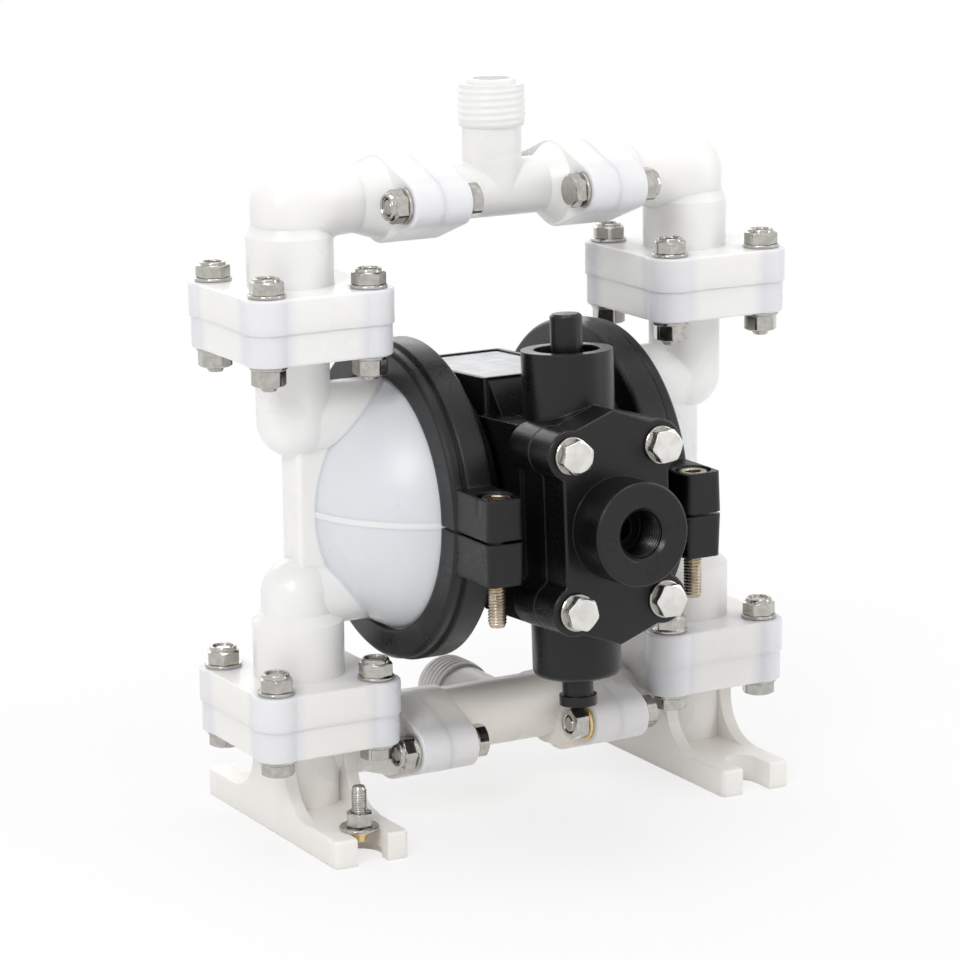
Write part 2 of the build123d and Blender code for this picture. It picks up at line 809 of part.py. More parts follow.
# Plates on both sides of each diaphragm; the outer one carries the stud
with BuildPart() as outer_plate_piece:
    turned(
        [
            (rim_face_x - stud_length, 0),
            (rim_face_x - stud_length, stud_radius),
            (rim_face_x, stud_radius),
            (rim_face_x, plate_radius),
            (rim_face_x + plate_edge, plate_radius),
            (rim_face_x + outer_plate, plate_radius - plate_slope),
            (rim_face_x + outer_plate, 0),
        ],
        shaft_section,
        shaft_axis,
    )
    fillet(edges().filter_by(GeomType.CIRCLE).group_by(Axis.X)[-1], plate_edge)
save_pair(outer_plate_piece, "outer_plate")

with BuildPart() as inner_plate_piece:
    turned(
        [
            (inner_plate_x, stud_radius + stud_gap),
            (bead_back_x, stud_radius + stud_gap),
            (bead_back_x, plate_radius),
            (bead_back_x - plate_edge, plate_radius),
            (inner_plate_x, plate_radius - inner_plate),
        ],
        shaft_section,
        shaft_axis,
    )
save_pair(inner_plate_piece, "inner_plate")

with BuildPart() as main_shaft:
    rod(outward(-inner_plate_x, shaft_z), shaft_radius, 2 * inner_plate_x)
    chamfer(edges().filter_by(GeomType.CIRCLE), shaft_edge)
    rod(outward(-inner_plate_x, shaft_z), stud_radius + stud_gap, stud_hole_depth, Mode.SUBTRACT)
    rod(inward(inner_plate_x, shaft_z), stud_radius + stud_gap, stud_hole_depth, Mode.SUBTRACT)
save(main_shaft, "main_shaft")

with BuildPart() as shaft_bushes:
    tube(inward(air_hub_x, shaft_z), bush_radius, shaft_radius + bush_gap, bush_length)
    tube(outward(-air_hub_x, shaft_z), bush_radius, shaft_radius + bush_gap, bush_length)
save(shaft_bushes, "shaft_bushes")

with BuildPart() as shaft_seals:
    tube(outward(air_hub_x, shaft_z), shaft_seal_radius, shaft_radius + ring_gap, shaft_seal_length)
    tube(inward(-air_hub_x, shaft_z), shaft_seal_radius, shaft_radius + ring_gap, shaft_seal_length)
save(shaft_seals, "shaft_seals")

with BuildPart() as pilot_rod:
    with BuildSketch(side(-pilot_half)):
        with Locations((0, pilot_rise)):
            Circle(pilot_radius)
    extrude(amount=2 * pilot_half)
    chamfer(edges().filter_by(GeomType.CIRCLE), pilot_edge)
save(pilot_rod, "pilot_rod")

# Air chamber plates between the housing and the diaphragms
screw_angles = (60, 120, 240, 300)
screw_points = [
    (air_screw_circle * cos(radians(angle)), air_screw_circle * sin(radians(angle))) for angle in screw_angles
]
for end, name, way_z in ((1, "right", right_way_z), (-1, "left", left_way_z)):
    with BuildPart() as air_plate:
        outline = [
            (air_hub_x, shaft_seal_radius),
            (air_hub_x, air_boss_radius),
            (air_wall_x, air_boss_radius + air_boss_slope),
            (air_wall_x, air_back_radius),
            (air_rim_x, air_cup_radius),
            (air_rim_x, rim_outer_radius),
            (bead_back_x, rim_outer_radius),
            (bead_back_x, diaphragm_clamp),
            (air_cup_slope_x, air_cup_slope_radius),
            (air_floor_x, air_floor_radius),
            (air_floor_x, shaft_radius + free_gap),
            (air_hub_x + shaft_seal_length, shaft_radius + free_gap),
            (air_hub_x + shaft_seal_length, shaft_seal_radius),
        ]
        turned([(end * x, radius) for x, radius in outline], shaft_section, shaft_axis)
        with BuildSketch(side(end * air_hub_x)):
            with Locations((0, pilot_rise)):
                Circle(pilot_radius + free_gap)
            with Locations((-way_y, way_z)):
                Circle(small_way)
            with Locations(*screw_points):
                Circle(air_screw_hole)
        extrude(amount=end * (air_floor_x - air_hub_x), mode=Mode.SUBTRACT)
        with BuildSketch(side(end * air_floor_x)):
            with Locations(*screw_points):
                Circle(air_screw_head + free_gap)
        extrude(amount=-end * (air_floor_x - air_screw_x), mode=Mode.SUBTRACT)
    save(air_plate, f"{name}_air_plate")

with BuildPart() as air_plate_screws:
    for end in (-1, 1):
        with BuildSketch(side(end * air_screw_x)):
            with Locations(*screw_points):
                Circle(air_screw_head)
        extrude(amount=end * air_screw_head_height)
        with BuildSketch(side(end * (air_screw_x + air_screw_head_height))):
            with Locations(*screw_points):
                RegularPolygon(air_screw_socket, 6)
        extrude(amount=-end * air_screw_socket, mode=Mode.SUBTRACT)
        with BuildSketch(side(end * air_screw_x)):
            with Locations(*screw_points):
                Circle(air_screw_radius)
        extrude(amount=-end * air_screw_length)
save(air_plate_screws, "air_plate_screws")


def half_band(up, ear_height, recess_radius, recess_depth):
    """One half of a clamp band with its two ears; up is 1 for the upper half and -1 for the lower."""
    groove_x = band_outer_x - band_lip_width
    groove_radius = band_radius - band_groove_depth
    channel = rim_outer_radius + band_channel_gap
    outer_mouth = dome_mouth + band_mouth_gap
    inner_mouth = air_cup_radius + 1.5 * band_mouth_gap
    turned(
        [
            (band_outer_x, outer_mouth),
            (band_outer_x, band_lip_radius - band_edge),
            (band_outer_x - band_edge, band_lip_radius),
            (groove_x, band_lip_radius),
            (groove_x - band_groove / 2, groove_radius),
            (groove_x - band_groove, groove_radius),
            (groove_x - 1.5 * band_groove, band_radius),
            (band_inner_x + band_edge, band_radius),
            (band_inner_x, band_radius - band_edge),
            (band_inner_x, inner_mouth),
            (air_rim_x, inner_mouth),
            (air_rim_x, channel),
            (rim_back_x, channel),
            (rim_back_x, outer_mouth),
        ],
        shaft_section,
        shaft_axis,
    )
    base = Plane(origin=(band_x, 0, shaft_z + up * band_split / 2), x_dir=(1, 0, 0), z_dir=(0, 0, up))
    split(bisect_by=base, keep=Keep.TOP)
    ear_middle = (ear_start_y + ear_end_y) / 2
    with BuildSketch(base) as shape:
        with Locations((0, ear_middle), (0, -ear_middle)):
            Rectangle(ear_width, ear_end_y - ear_start_y)
        fillet(vertices().group_by(Axis.Y)[0] + vertices().group_by(Axis.Y)[-1], ear_corner)
    extrude(shape.sketch, amount=ear_height, taper=ear_draft)
    with BuildSketch(base) as shape:
        with Locations((0, ear_bolt_y), (0, -ear_bolt_y)):
            Circle(washer_hole_radius)
    extrude(shape.sketch, amount=ear_height, mode=Mode.SUBTRACT)
    with BuildSketch(base.offset(ear_height)) as shape:
        with Locations((0, ear_bolt_y), (0, -ear_bolt_y)):
            Circle(recess_radius)
    extrude(shape.sketch, amount=-recess_depth, mode=Mode.SUBTRACT)


# Clamp bands around the chamber rims, in halves
with BuildPart() as upper_band:
    half_band(1, ear_rise - band_split / 2, socket_recess_radius, socket_recess_depth)
save_pair(upper_band, "upper_band")
with BuildPart() as lower_band:
    half_band(-1, ear_drop - band_split / 2, insert_radius, insert_length)
save_pair(lower_band, "lower_band")

with BuildPart() as band_bolts:
    head_z = shaft_z + ear_rise - socket_recess_depth
    for x in (-band_x, band_x):
        for y in (-ear_bolt_y, ear_bolt_y):
            rod(upward(x, y, head_z), socket_head_radius, socket_head_height)
            rod(upward(x, y, head_z), bolt_radius, -clamp_bolt_length)
            with BuildSketch(upward(x, y, head_z + socket_head_height)):
                RegularPolygon(socket_across / 2, 6, major_radius=False)
            extrude(amount=-socket_depth, mode=Mode.SUBTRACT)
save(band_bolts, "band_bolts")

with BuildPart() as band_inserts:
    for x in (-band_x, band_x):
        for y in (-ear_bolt_y, ear_bolt_y):
            tube(upward(x, y, shaft_z - ear_drop), insert_radius, bolt_radius + thread_gap, insert_length)
save(band_inserts, "band_inserts")

valve_bolt_points = [(x, z) for x in (-cover_bolt_x, cover_bolt_x) for z in (-cover_bolt_z, cover_bolt_z)]


def valve_outline():
    """The six-sided outline of the valve joint with a lobe at each bolt."""
    with BuildLine() as outline:
        Polyline(
            (0, cover_apex),
            (cover_waist, cover_shoulder),
            (cover_waist, -cover_shoulder),
            (0, -cover_apex),
            (-cover_waist, -cover_shoulder),
            (-cover_waist, cover_shoulder),
            close=True,
        )
    make_face(outline.edges())
    with Locations(*valve_bolt_points):
        Circle(cover_lobe)
    fillet(vertices(), valve_blend)


# Centre housing: one moulding with the shaft box, the valve body and the reset cup
with BuildPart() as centre_housing:
    with BuildSketch(level(box_bottom)):
        RectangleRounded(box_width, box_length, box_corner)
    extrude(amount=box_top - box_bottom)
    with BuildSketch(level(box_top)):
        RectangleRounded(box_width - 2 * plate_border, box_length - 2 * plate_border, box_corner / 2)
    extrude(amount=-plate_recess, mode=Mode.SUBTRACT)
    block_length = valve_flange_back - box_length / 2 + box_corner
    with BuildSketch(level(box_bottom, block_length / 2 - valve_flange_back)):
        Rectangle(valve_block_width, block_length)
    extrude(amount=valve_block_top - box_bottom)
    with BuildSketch(side(-shoulder_width / 2)):
        with BuildLine():
            Polyline(
                (-box_length / 2 + box_corner, box_top - plate_recess),
                (-box_length / 2, box_top - plate_recess),
                (-shoulder_y, valve_block_top),
                (-box_length / 2 + box_corner, valve_block_top),
                close=True,
            )
        make_face()
    extrude(amount=shoulder_width)
    with BuildSketch(valve_face(valve_flange_back)):
        valve_outline()
    extrude(amount=valve_flange_front - valve_flange_back)
    rod(valve_level(0), cup_radius, cup_top)
    rod(valve_level(0), low_cylinder_radius, low_cylinder_end)
    fillet(faces().sort_by(valve_axis)[0].edges(), low_cylinder_edge)
    rod(rearward(0, 0, exhaust_z), exhaust_boss_radius, exhaust_face)
    # cup, valve bore and the hole for the lower pin
    rod(valve_level(cup_floor), cup_bore, cup_top - cup_floor, Mode.SUBTRACT)
    rod(valve_level(valve_bore_bottom), valve_bore, cup_floor - valve_bore_bottom, Mode.SUBTRACT)
    rod(valve_level(valve_bore_bottom), low_pin_radius + pin_gap, low_cylinder_end - valve_bore_bottom, Mode.SUBTRACT)
    # shaft bore, bores for the bushes, and pilot bore
    rod(side(-box_width / 2), shaft_radius + free_gap, box_width, Mode.SUBTRACT)
    rod(side(-box_width / 2), bush_radius, bush_length, Mode.SUBTRACT)
    rod(side(box_width / 2), bush_radius, -bush_length, Mode.SUBTRACT)
    with BuildSketch(side(-box_width / 2)):
        with Locations((0, pilot_rise)):
            Circle(pilot_radius + pilot_gap)
    extrude(amount=box_width, mode=Mode.SUBTRACT)
    # air ways: inlet, one to each side, and the exhaust behind the valve
    rod(valve_face(valve_y), air_way, valve_flange_front - valve_y, Mode.SUBTRACT)
    for end, way_z in ((1, right_way_z), (-1, left_way_z)):
        rod(rearward(end * way_x, -valve_y, way_z), small_way, valve_y - way_y + small_way + way_end, Mode.SUBTRACT)
        with BuildSketch(side(end * way_x)):
            with Locations((-way_y, way_z)):
                Circle(side_way)
        extrude(amount=end * (box_width / 2 - way_x), mode=Mode.SUBTRACT)
    for step in (-2, 2):
        link = rearward(0, -valve_y, port_middle + step * port_pitch)
        rod(link, small_way, valve_y - exhaust_way_y, Mode.SUBTRACT)
    way_half = 2 * port_pitch + small_way + way_end
    rod(level(port_middle - way_half, -exhaust_way_y), link_way, 2 * way_half, Mode.SUBTRACT)
    rod(rearward(0, -exhaust_way_y, exhaust_z), exhaust_way, exhaust_way_y + exhaust_face, Mode.SUBTRACT)
    rod(rearward(0, exhaust_face, exhaust_z), exhaust_bore, -exhaust_depth, Mode.SUBTRACT)
    # screw holes
    with BuildSketch(valve_face(valve_flange_front)):
        with Locations(*valve_bolt_points):
            Circle(bolt_radius + thread_gap)
    extrude(amount=cover_thickness + gasket_thickness + washer_thickness - cover_bolt_length, mode=Mode.SUBTRACT)
    for end in (-1, 1):
        with BuildSketch(side(end * box_width / 2)):
            with Locations(*screw_points):
                Circle(air_screw_radius + thread_gap)
        extrude(amount=-end * (air_screw_length - air_screw_x + air_hub_x), mode=Mode.SUBTRACT)
save(centre_housing, "centre_housing")

with BuildPart() as cover_gasket:
    with BuildSketch(valve_face(valve_flange_front)):
        valve_outline()
        Circle(air_way, mode=Mode.SUBTRACT)
        with Locations(*valve_bolt_points):
            Circle(bolt_hole_radius, mode=Mode.SUBTRACT)
    extrude(amount=gasket_thickness)
save(cover_gasket, "cover_gasket")

with BuildPart() as valve_cover:
    with BuildSketch(valve_face(cover_back)):
        valve_outline()
    extrude(amount=cover_thickness)
    fillet(faces().sort_by(inlet_axis)[-1].edges(), cover_edge)
    rod(valve_face(cover_front), inlet_boss_radius, inlet_boss_length)
    fillet(faces().sort_by(inlet_axis)[-1].edges(), cover_edge)
    rod(valve_face(inlet_face), inlet_bore, -inlet_depth, Mode.SUBTRACT)
    mouth = valve_face(inlet_face - inlet_chamfer)
    flare(mouth, inlet_bore, inlet_bore + inlet_chamfer, inlet_chamfer, Mode.SUBTRACT)
    rod(valve_face(cover_back), air_way, inlet_face - cover_back - inlet_depth, Mode.SUBTRACT)
    with BuildSketch(valve_face(cover_back)):
        with Locations(*valve_bolt_points):
            Circle(bolt_hole_radius)
    extrude(amount=cover_thickness, mode=Mode.SUBTRACT)
save(valve_cover, "valve_cover")

with BuildPart() as cover_bolts:
    face = valve_face(cover_front + washer_thickness)
    for x, z in valve_bolt_points:
        add_bolt(Plane(face.from_local_coords((x, z, 0)), face.x_dir, face.z_dir), head_height, cover_bolt_length)
save(cover_bolts, "cover_bolts")

# Air valve: sleeve, spool with its rings, pins and end plug
with BuildPart() as valve_sleeve:
    sleeve_outer = valve_bore - sleeve_gap
    tube(valve_level(valve_bore_bottom), sleeve_outer, sleeve_bore, plug_bottom - valve_bore_bottom)
    for step in (-2, -1, 0, 1, 2):
        port_z = port_middle + step * port_pitch
        with BuildSketch(valve_level(port_z - port_width / 2)):
            Circle(sleeve_outer)
            Circle(sleeve_outer - sleeve_groove, mode=Mode.SUBTRACT)
        extrude(amount=port_width, mode=Mode.SUBTRACT)
        for across in ((1, 0, 0), (0, 1, 0)):
            with BuildSketch(leaned(Plane(origin=(0, -valve_y, port_z), x_dir=(0, 0, 1), z_dir=across))):
                Circle(port_hole)
            extrude(amount=valve_bore, both=True, mode=Mode.SUBTRACT)
save(valve_sleeve, "valve_sleeve")

ring_places = [spool_middle + way * place for way in (-1, 1) for place in spool_ring_places]
with BuildPart() as valve_spool:
    rod(valve_level(spool_bottom), spool_radius, spool_top - spool_bottom)
    for start in (spool_waist_start, -spool_waist_end):
        with BuildSketch(valve_level(spool_middle + start)):
            Circle(spool_radius)
            Circle(spool_waist, mode=Mode.SUBTRACT)
        extrude(amount=spool_waist_end - spool_waist_start, mode=Mode.SUBTRACT)
    for height in ring_places:
        with BuildSketch(valve_level(height - spool_ring_width / 2)):
            Circle(spool_radius)
            Circle(spool_radius - spool_ring_depth, mode=Mode.SUBTRACT)
        extrude(amount=spool_ring_width, mode=Mode.SUBTRACT)
save(valve_spool, "valve_spool")

with BuildPart() as spool_rings:
    for height in ring_places:
        ring_plane = valve_level(height - spool_ring_width / 2)
        tube(ring_plane, sleeve_bore - ring_gap, spool_radius - spool_ring_depth, spool_ring_width)
save(spool_rings, "spool_rings")

with BuildPart() as upper_reset_pin:
    rod(valve_level(spool_top), pin_radius, pin_top - spool_top)
    chamfer(faces().sort_by(valve_axis)[-1].edges(), pin_edge)
save(upper_reset_pin, "upper_reset_pin")

with BuildPart() as lower_reset_pin:
    rod(valve_level(spool_bottom), low_pin_radius, low_pin_end - spool_bottom)
    rod(valve_level(low_pin_end), low_pin_flange_radius, low_pin_flange)
save(lower_reset_pin, "lower_reset_pin")

with BuildPart() as valve_plug:
    tube(valve_level(plug_bottom), valve_bore - sleeve_gap, pin_radius + pin_gap, plug_thickness)
save(valve_plug, "valve_plug")

# Exhaust silencer
with BuildPart() as exhaust_silencer:
    mouth = rearward(0, exhaust_face, exhaust_z)
    rod(mouth, silencer_radius, silencer_length)
    fillet(faces().sort_by(inlet_axis)[0].edges(), silencer_edge)
    with BuildSketch(mouth.offset(silencer_slot_start)):
        with PolarLocations(silencer_radius, silencer_slots):
            Rectangle(2 * silencer_slot_depth, silencer_slot_width)
    extrude(amount=silencer_slot_length, mode=Mode.SUBTRACT)
    rod(mouth, silencer_thread_radius, -silencer_thread_length)
    bore_length = silencer_thread_length + silencer_length - silencer_end_wall
    rod(mouth.offset(-silencer_thread_length), silencer_bore, bore_length, Mode.SUBTRACT)
save(exhaust_silencer, "exhaust_silencer")

# Bolts of the four-bolt joints: heads up on the outlet joints, heads down on the inlet joints
flange_points = [
    (pipe + across, along)
    for pipe in (-pipe_x, pipe_x)
    for across in (-flange_bolt_x, flange_bolt_x)
    for along in (-flange_bolt_y, flange_bolt_y)
]
with BuildPart() as upper_flange_bolts:
    length = joint_height + 2 * washer_thickness + nut_height + thread_end
    for x, y in flange_points:
        add_bolt(upward(x, y, manifold_top_z + washer_thickness), tall_head_height, length)
save(upper_flange_bolts, "upper_flange_bolts")
with BuildPart() as lower_flange_bolts:
    length = joint_height + 2 * washer_thickness + full_lock_nut + lock_thread_end
    for x, y in flange_points:
        add_bolt(downward(x, y, foot_flange_z - washer_thickness), head_height, length)
save(lower_flange_bolts, "lower_flange_bolts")

# Bolts of the two-bolt joints: heads on the tee side, but outside at the right of the inlet
head_x = oval_inner_x - washer_thickness
nut_x = oval_outer_x + washer_thickness
manifold_bolt_planes = []
lock_nut_planes = [upward(x, y, foot_neck_z + washer_thickness) for x, y in flange_points]
plain_nut_planes = [downward(x, y, chamber_top_z - washer_thickness) for x, y in flange_points]
washer_planes = []
brass_planes = []
for x, y in flange_points:
    washer_planes += [upward(x, y, manifold_top_z), downward(x, y, chamber_top_z)]
    washer_planes += [upward(x, y, foot_neck_z), downward(x, y, foot_flange_z)]
for y in (-oval_bolt_y, oval_bolt_y):
    for z in (top_pipe_z, bottom_pipe_z):
        manifold_bolt_planes.append(outward(-head_x, z, y))
        lock_nut_planes.append(inward(-nut_x, z, y))
        washer_planes += [outward(-oval_inner_x, z, y), inward(-oval_outer_x, z, y)]
    manifold_bolt_planes.append(inward(head_x, top_pipe_z, y))
    lock_nut_planes.append(outward(nut_x, top_pipe_z, y))
    washer_planes += [inward(oval_inner_x, top_pipe_z, y), outward(oval_outer_x, top_pipe_z, y)]
    manifold_bolt_planes.append(outward(nut_x, bottom_pipe_z, y))
    plain_nut_planes.append(inward(head_x, bottom_pipe_z, y))
    washer_planes.append(outward(oval_outer_x, bottom_pipe_z, y))
    brass_planes.append(inward(oval_inner_x, bottom_pipe_z, y))
for x, z in valve_bolt_points:
    face = valve_face(cover_front)
    washer_planes.append(Plane(face.from_local_coords((x, z, 0)), face.x_dir, face.z_dir))

with BuildPart() as manifold_bolts:
    length = 2 * oval_thickness + 2 * washer_thickness + nut_height
    for place in manifold_bolt_planes:
        add_bolt(place, head_height, length)
save(manifold_bolts, "manifold_bolts")
with BuildPart() as lock_nuts:
    for place in lock_nut_planes:
        add_lock_nut(place)
save(lock_nuts, "lock_nuts")
with BuildPart() as plain_nuts:
    for place in plain_nut_planes:
        add_nut(place, nut_height)
save(plain_nuts, "plain_nuts")
with BuildPart() as steel_washers:
    for place in washer_planes:
        add_washer(place)
save(steel_washers, "steel_washers")
with BuildPart() as brass_washers:
    for place in brass_planes:
        add_washer(place)
save(brass_washers, "brass_washers")

# Earth terminal: stud with a flat head under the left foot, washer and nut
with BuildPart() as earth_stud:
    rod(Plane((-foot_x, -slot_end_y, earth_recess_depth)), earth_head_radius, -earth_head_height)
    rod(Plane((-foot_x, -slot_end_y, earth_recess_depth)), earth_radius, earth_top - earth_recess_depth)
save(earth_stud, "earth_stud")
with BuildPart() as earth_washer:
    tube(Plane((-foot_x, -slot_end_y, foot_height)), earth_washer_radius, earth_washer_hole, earth_washer_height)
save(earth_washer, "earth_washer")
with BuildPart() as earth_nut:
    with BuildSketch(Plane((-foot_x, -slot_end_y, foot_height + earth_washer_height))):
        RegularPolygon(earth_nut_across / 2, 6, major_radius=False)
        Circle(earth_radius + earth_gap, mode=Mode.SUBTRACT)
    extrude(amount=earth_nut_height)
save(earth_nut, "earth_nut")
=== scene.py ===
import json
import math
import random

import bmesh
import bpy
from mathutils import Matrix, Vector


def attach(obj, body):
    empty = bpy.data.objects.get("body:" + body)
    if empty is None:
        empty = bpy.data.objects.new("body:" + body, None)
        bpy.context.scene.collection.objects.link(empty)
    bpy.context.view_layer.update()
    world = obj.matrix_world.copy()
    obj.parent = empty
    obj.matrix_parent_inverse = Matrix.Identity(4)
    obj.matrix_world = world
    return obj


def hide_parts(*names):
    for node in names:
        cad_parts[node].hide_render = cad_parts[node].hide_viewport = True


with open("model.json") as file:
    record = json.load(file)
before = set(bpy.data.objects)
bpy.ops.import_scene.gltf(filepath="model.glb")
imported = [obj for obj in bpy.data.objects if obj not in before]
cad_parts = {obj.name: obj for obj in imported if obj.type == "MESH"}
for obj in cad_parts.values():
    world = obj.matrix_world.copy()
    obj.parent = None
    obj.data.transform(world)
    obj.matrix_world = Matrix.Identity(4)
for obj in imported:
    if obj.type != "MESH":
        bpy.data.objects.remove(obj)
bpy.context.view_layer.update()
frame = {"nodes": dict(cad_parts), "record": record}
nodes = frame["nodes"]
MM = 0.001

# All sizes are in millimetres unless a comment says otherwise. First those that the solids have too.
# Centre section, manifolds and domes
SHAFT_Z = 104.6
CENTRE_TURN = math.radians(3.0)
VALVE_DROP = -2.65  # from the shaft to the axis of the air valve
PIPE_X = 73.5
TOP_PIPE = 203.6
BOTTOM_PIPE = 25.2
PIPE_MIDDLE = (TOP_PIPE + BOTTOM_PIPE) / 2
PIPE_HALF = (TOP_PIPE - BOTTOM_PIPE) / 2
DOME_CENTRE = 24.81
DOME_RADIUS = 44.79

# Four-bolt joints
FLANGE_BOLT_X = 17.75
FLANGE_BOLT_Y = 19.5
FLANGE_LEVEL = 63.6  # from the shaft to the middle of these joints
FOOT_FLANGE = 30.3
LOWER_JOINT_TOP = 51.7
CHAMBER_TOP = 157.5
MANIFOLD_TOP = 178.9

# Two-bolt joints
OVAL_INNER = 22.1
OVAL_OUTER = 42.6
OVAL_Y = 20.0

# Bolts, nuts and washers of the joints
BOLT_R = 3.0
HEX = 10.0
HEAD = 4.0
TALL_HEAD = 5.0
NUT = 5.2
THREAD_END = 1.6  # how far a bolt stands out of its plain nut
LOCK_NUT = 4.3
LOCK_COLLAR = 1.4
LOCK_THREAD_END = -0.6  # a bolt ends this far inside its lock nut
WASHER = 1.2
WASHER_R = 6.0
WASHER_HOLE = 3.2

# Valve cover and air port
COVER_FRONT = 78.0
COVER_BOLT_X = 16.15
COVER_BOLT_Z = 24.62
COVER_BOLT_LENGTH = 24.0
INLET_FACE = 92.8
INLET_BORE = 7.475

# Clamp bolts in the ears of the bands
EAR_X = 36.0
EAR_Y = 64.5
EAR_RISE = 13.4
SOCKET_RECESS = 6.4
SOCKET_R = 5.0
SOCKET_HEIGHT = 6.0
SOCKET_ACROSS = 5.0
SOCKET_DEPTH = 3.0
CLAMP_LENGTH = 35.4

# Earth terminal
FOOT_X = 72.25
FOOT_HEIGHT = 9.0
SLOT_END_Y = 38.3
EARTH_RECESS = 3.0
EARTH_TOP = 23.2
EARTH_R = 2.5
EARTH_WASHER = 1.2
EARTH_WASHER_R = 6.4
EARTH_WASHER_HOLE = 2.7
EARTH_NUT = 4.6
EARTH_NUT_ACROSS = 8.0

# Threaded spigots
SPIGOT_R = 10.48
SPIGOT_LENGTH = 13.5
OUTLET_SHOULDER = 237.6
INLET_SHOULDER = 37.0
INLET_Z = 27.6

# Shaft box
BOX_TOP = 41.0
PLATE_RECESS = 1.0


# Materials
COLOUR_A = 6  # the colour sockets of a mix node, by their place
COLOUR_B = 7
COLOUR_RESULT = 2


class Tree:
    """A short way to write the node tree of a material or a world."""

    def __init__(self, owner):
        owner.use_nodes = True
        self.tree = owner.node_tree
        self.tree.nodes.clear()

    def add(self, kind, **values):
        node = self.tree.nodes.new(kind)
        for key, value in values.items():
            setattr(node, key, value)
        return node

    def link(self, a, b):
        self.tree.links.new(a, b)

    def math(self, operation, *values):
        """A sum of sockets and plain numbers."""
        node = self.add("ShaderNodeMath", operation=operation)
        for socket, value in zip(node.inputs, values):
            if isinstance(value, (int, float)):
                socket.default_value = value
            else:
                self.link(value, socket)
        return node.outputs[0]

    def most(self, a, b):
        return self.math("MAXIMUM", a, b)

    def seen(self):
        """1 for what the camera sees, straight or in a mirror or glass, and else 0."""
        ray = self.add("ShaderNodeLightPath")
        bright = self.most(ray.outputs["Is Glossy Ray"], ray.outputs["Is Transmission Ray"])
        return self.most(ray.outputs["Is Camera Ray"], bright)

    def mix(self, share, a, b):
        """Mixes two shaders."""
        node = self.add("ShaderNodeMixShader")
        for socket, value in zip(node.inputs, (share, a, b)):
            self.link(value, socket)
        return node.outputs[0]


class Skin(Tree):
    """A material with one principled shader, on the object's own coordinates."""

    def __init__(self, name):
        self.material = bpy.data.materials.new(name)
        super().__init__(self.material)
        self.output = self.add("ShaderNodeOutputMaterial")
        self.shader = self.add("ShaderNodeBsdfPrincipled")
        self.link(self.shader.outputs["BSDF"], self.output.inputs["Surface"])
        self.place = self.add("ShaderNodeTexCoord").outputs["Object"]

    def noise(self, scale, detail, stretch=(1, 1, 1)):
        """Noise with a scale in cycles per metre."""
        mapping = self.add("ShaderNodeMapping")
        mapping.inputs["Scale"].default_value = stretch
        self.link(self.place, mapping.inputs["Vector"])
        noise = self.add("ShaderNodeTexNoise")
        noise.inputs["Scale"].default_value = scale
        noise.inputs["Detail"].default_value = detail
        noise.inputs["Roughness"].default_value = 0.5
        self.link(mapping.outputs["Vector"], noise.inputs["Vector"])
        return noise.outputs["Fac"]

    def spread(self, value, low, high, to_low=0.0, to_high=1.0):
        """Goes smoothly from to_low to to_high while the value goes from low to high."""
        node = self.add("ShaderNodeMapRange", interpolation_type="SMOOTHSTEP")
        for key, number in (("From Min", low), ("From Max", high), ("To Min", to_low), ("To Max", to_high)):
            node.inputs[key].default_value = number
        self.link(value, node.inputs["Value"])
        return node.outputs["Result"]

    def fade(self, value, limits, to_low=0.0, to_high=1.0):
        """The same between two limits in millimetres."""
        low, high = limits
        return self.spread(value, low * MM, high * MM, to_low, to_high)

    def blend(self, factor, a, b):
        """Mixes two colours, each a tuple or a socket, by a socket."""
        node = self.add("ShaderNodeMix", data_type="RGBA")
        self.link(factor, node.inputs["Factor"])
        for socket, value in ((node.inputs[COLOUR_A], a), (node.inputs[COLOUR_B], b)):
            if isinstance(value, tuple):
                socket.default_value = (*value, 1)
            else:
                self.link(value, socket)
        return node.outputs[COLOUR_RESULT]

    def add_up(self, a, b, share):
        """The first value and a share of the second."""
        return self.math("MULTIPLY_ADD", b, share, a)

    def parts(self):
        """X, Y and Z of the object's own coordinates, in metres."""
        apart = self.add("ShaderNodeSeparateXYZ")
        self.link(self.place, apart.inputs[0])
        return apart.outputs["X"], apart.outputs["Y"], apart.outputs["Z"]

    def shift(self, value, amount):
        """The value less an amount in millimetres."""
        return self.math("SUBTRACT", value, amount * MM)

    def off(self, value, amount):
        """How far the value's size is from an amount in millimetres."""
        return self.math("ABSOLUTE", self.shift(self.math("ABSOLUTE", value), amount))

    def length(self, a, b):
        squares = self.math("ADD", self.math("MULTIPLY", a, a), self.math("MULTIPLY", b, b))
        return self.math("SQRT", squares)

    def bump(self, height, strength, depth, soft_edge=0.0):
        """Relief of the skin. Sharp edges look rounded to the radius soft_edge."""
        node = self.add("ShaderNodeBump")
        if soft_edge:
            edge = self.add("ShaderNodeBevel", samples=4)
            edge.inputs["Radius"].default_value = soft_edge * MM
            self.link(edge.outputs["Normal"], node.inputs["Normal"])
        node.inputs["Strength"].default_value = strength
        node.inputs["Distance"].default_value = depth * MM
        self.link(height, node.inputs["Height"])
        self.link(node.outputs["Normal"], self.shader.inputs["Normal"])

    def set(self, **values):
        """Sets sockets of the shader, with _ for each space in their names."""
        for key, value in values.items():
            self.shader.inputs[key.replace("_", " ")].default_value = value

    def colour(self, socket):
        self.link(socket, self.shader.inputs["Base Color"])

    def roughness(self, socket):
        self.link(socket, self.shader.inputs["Roughness"])


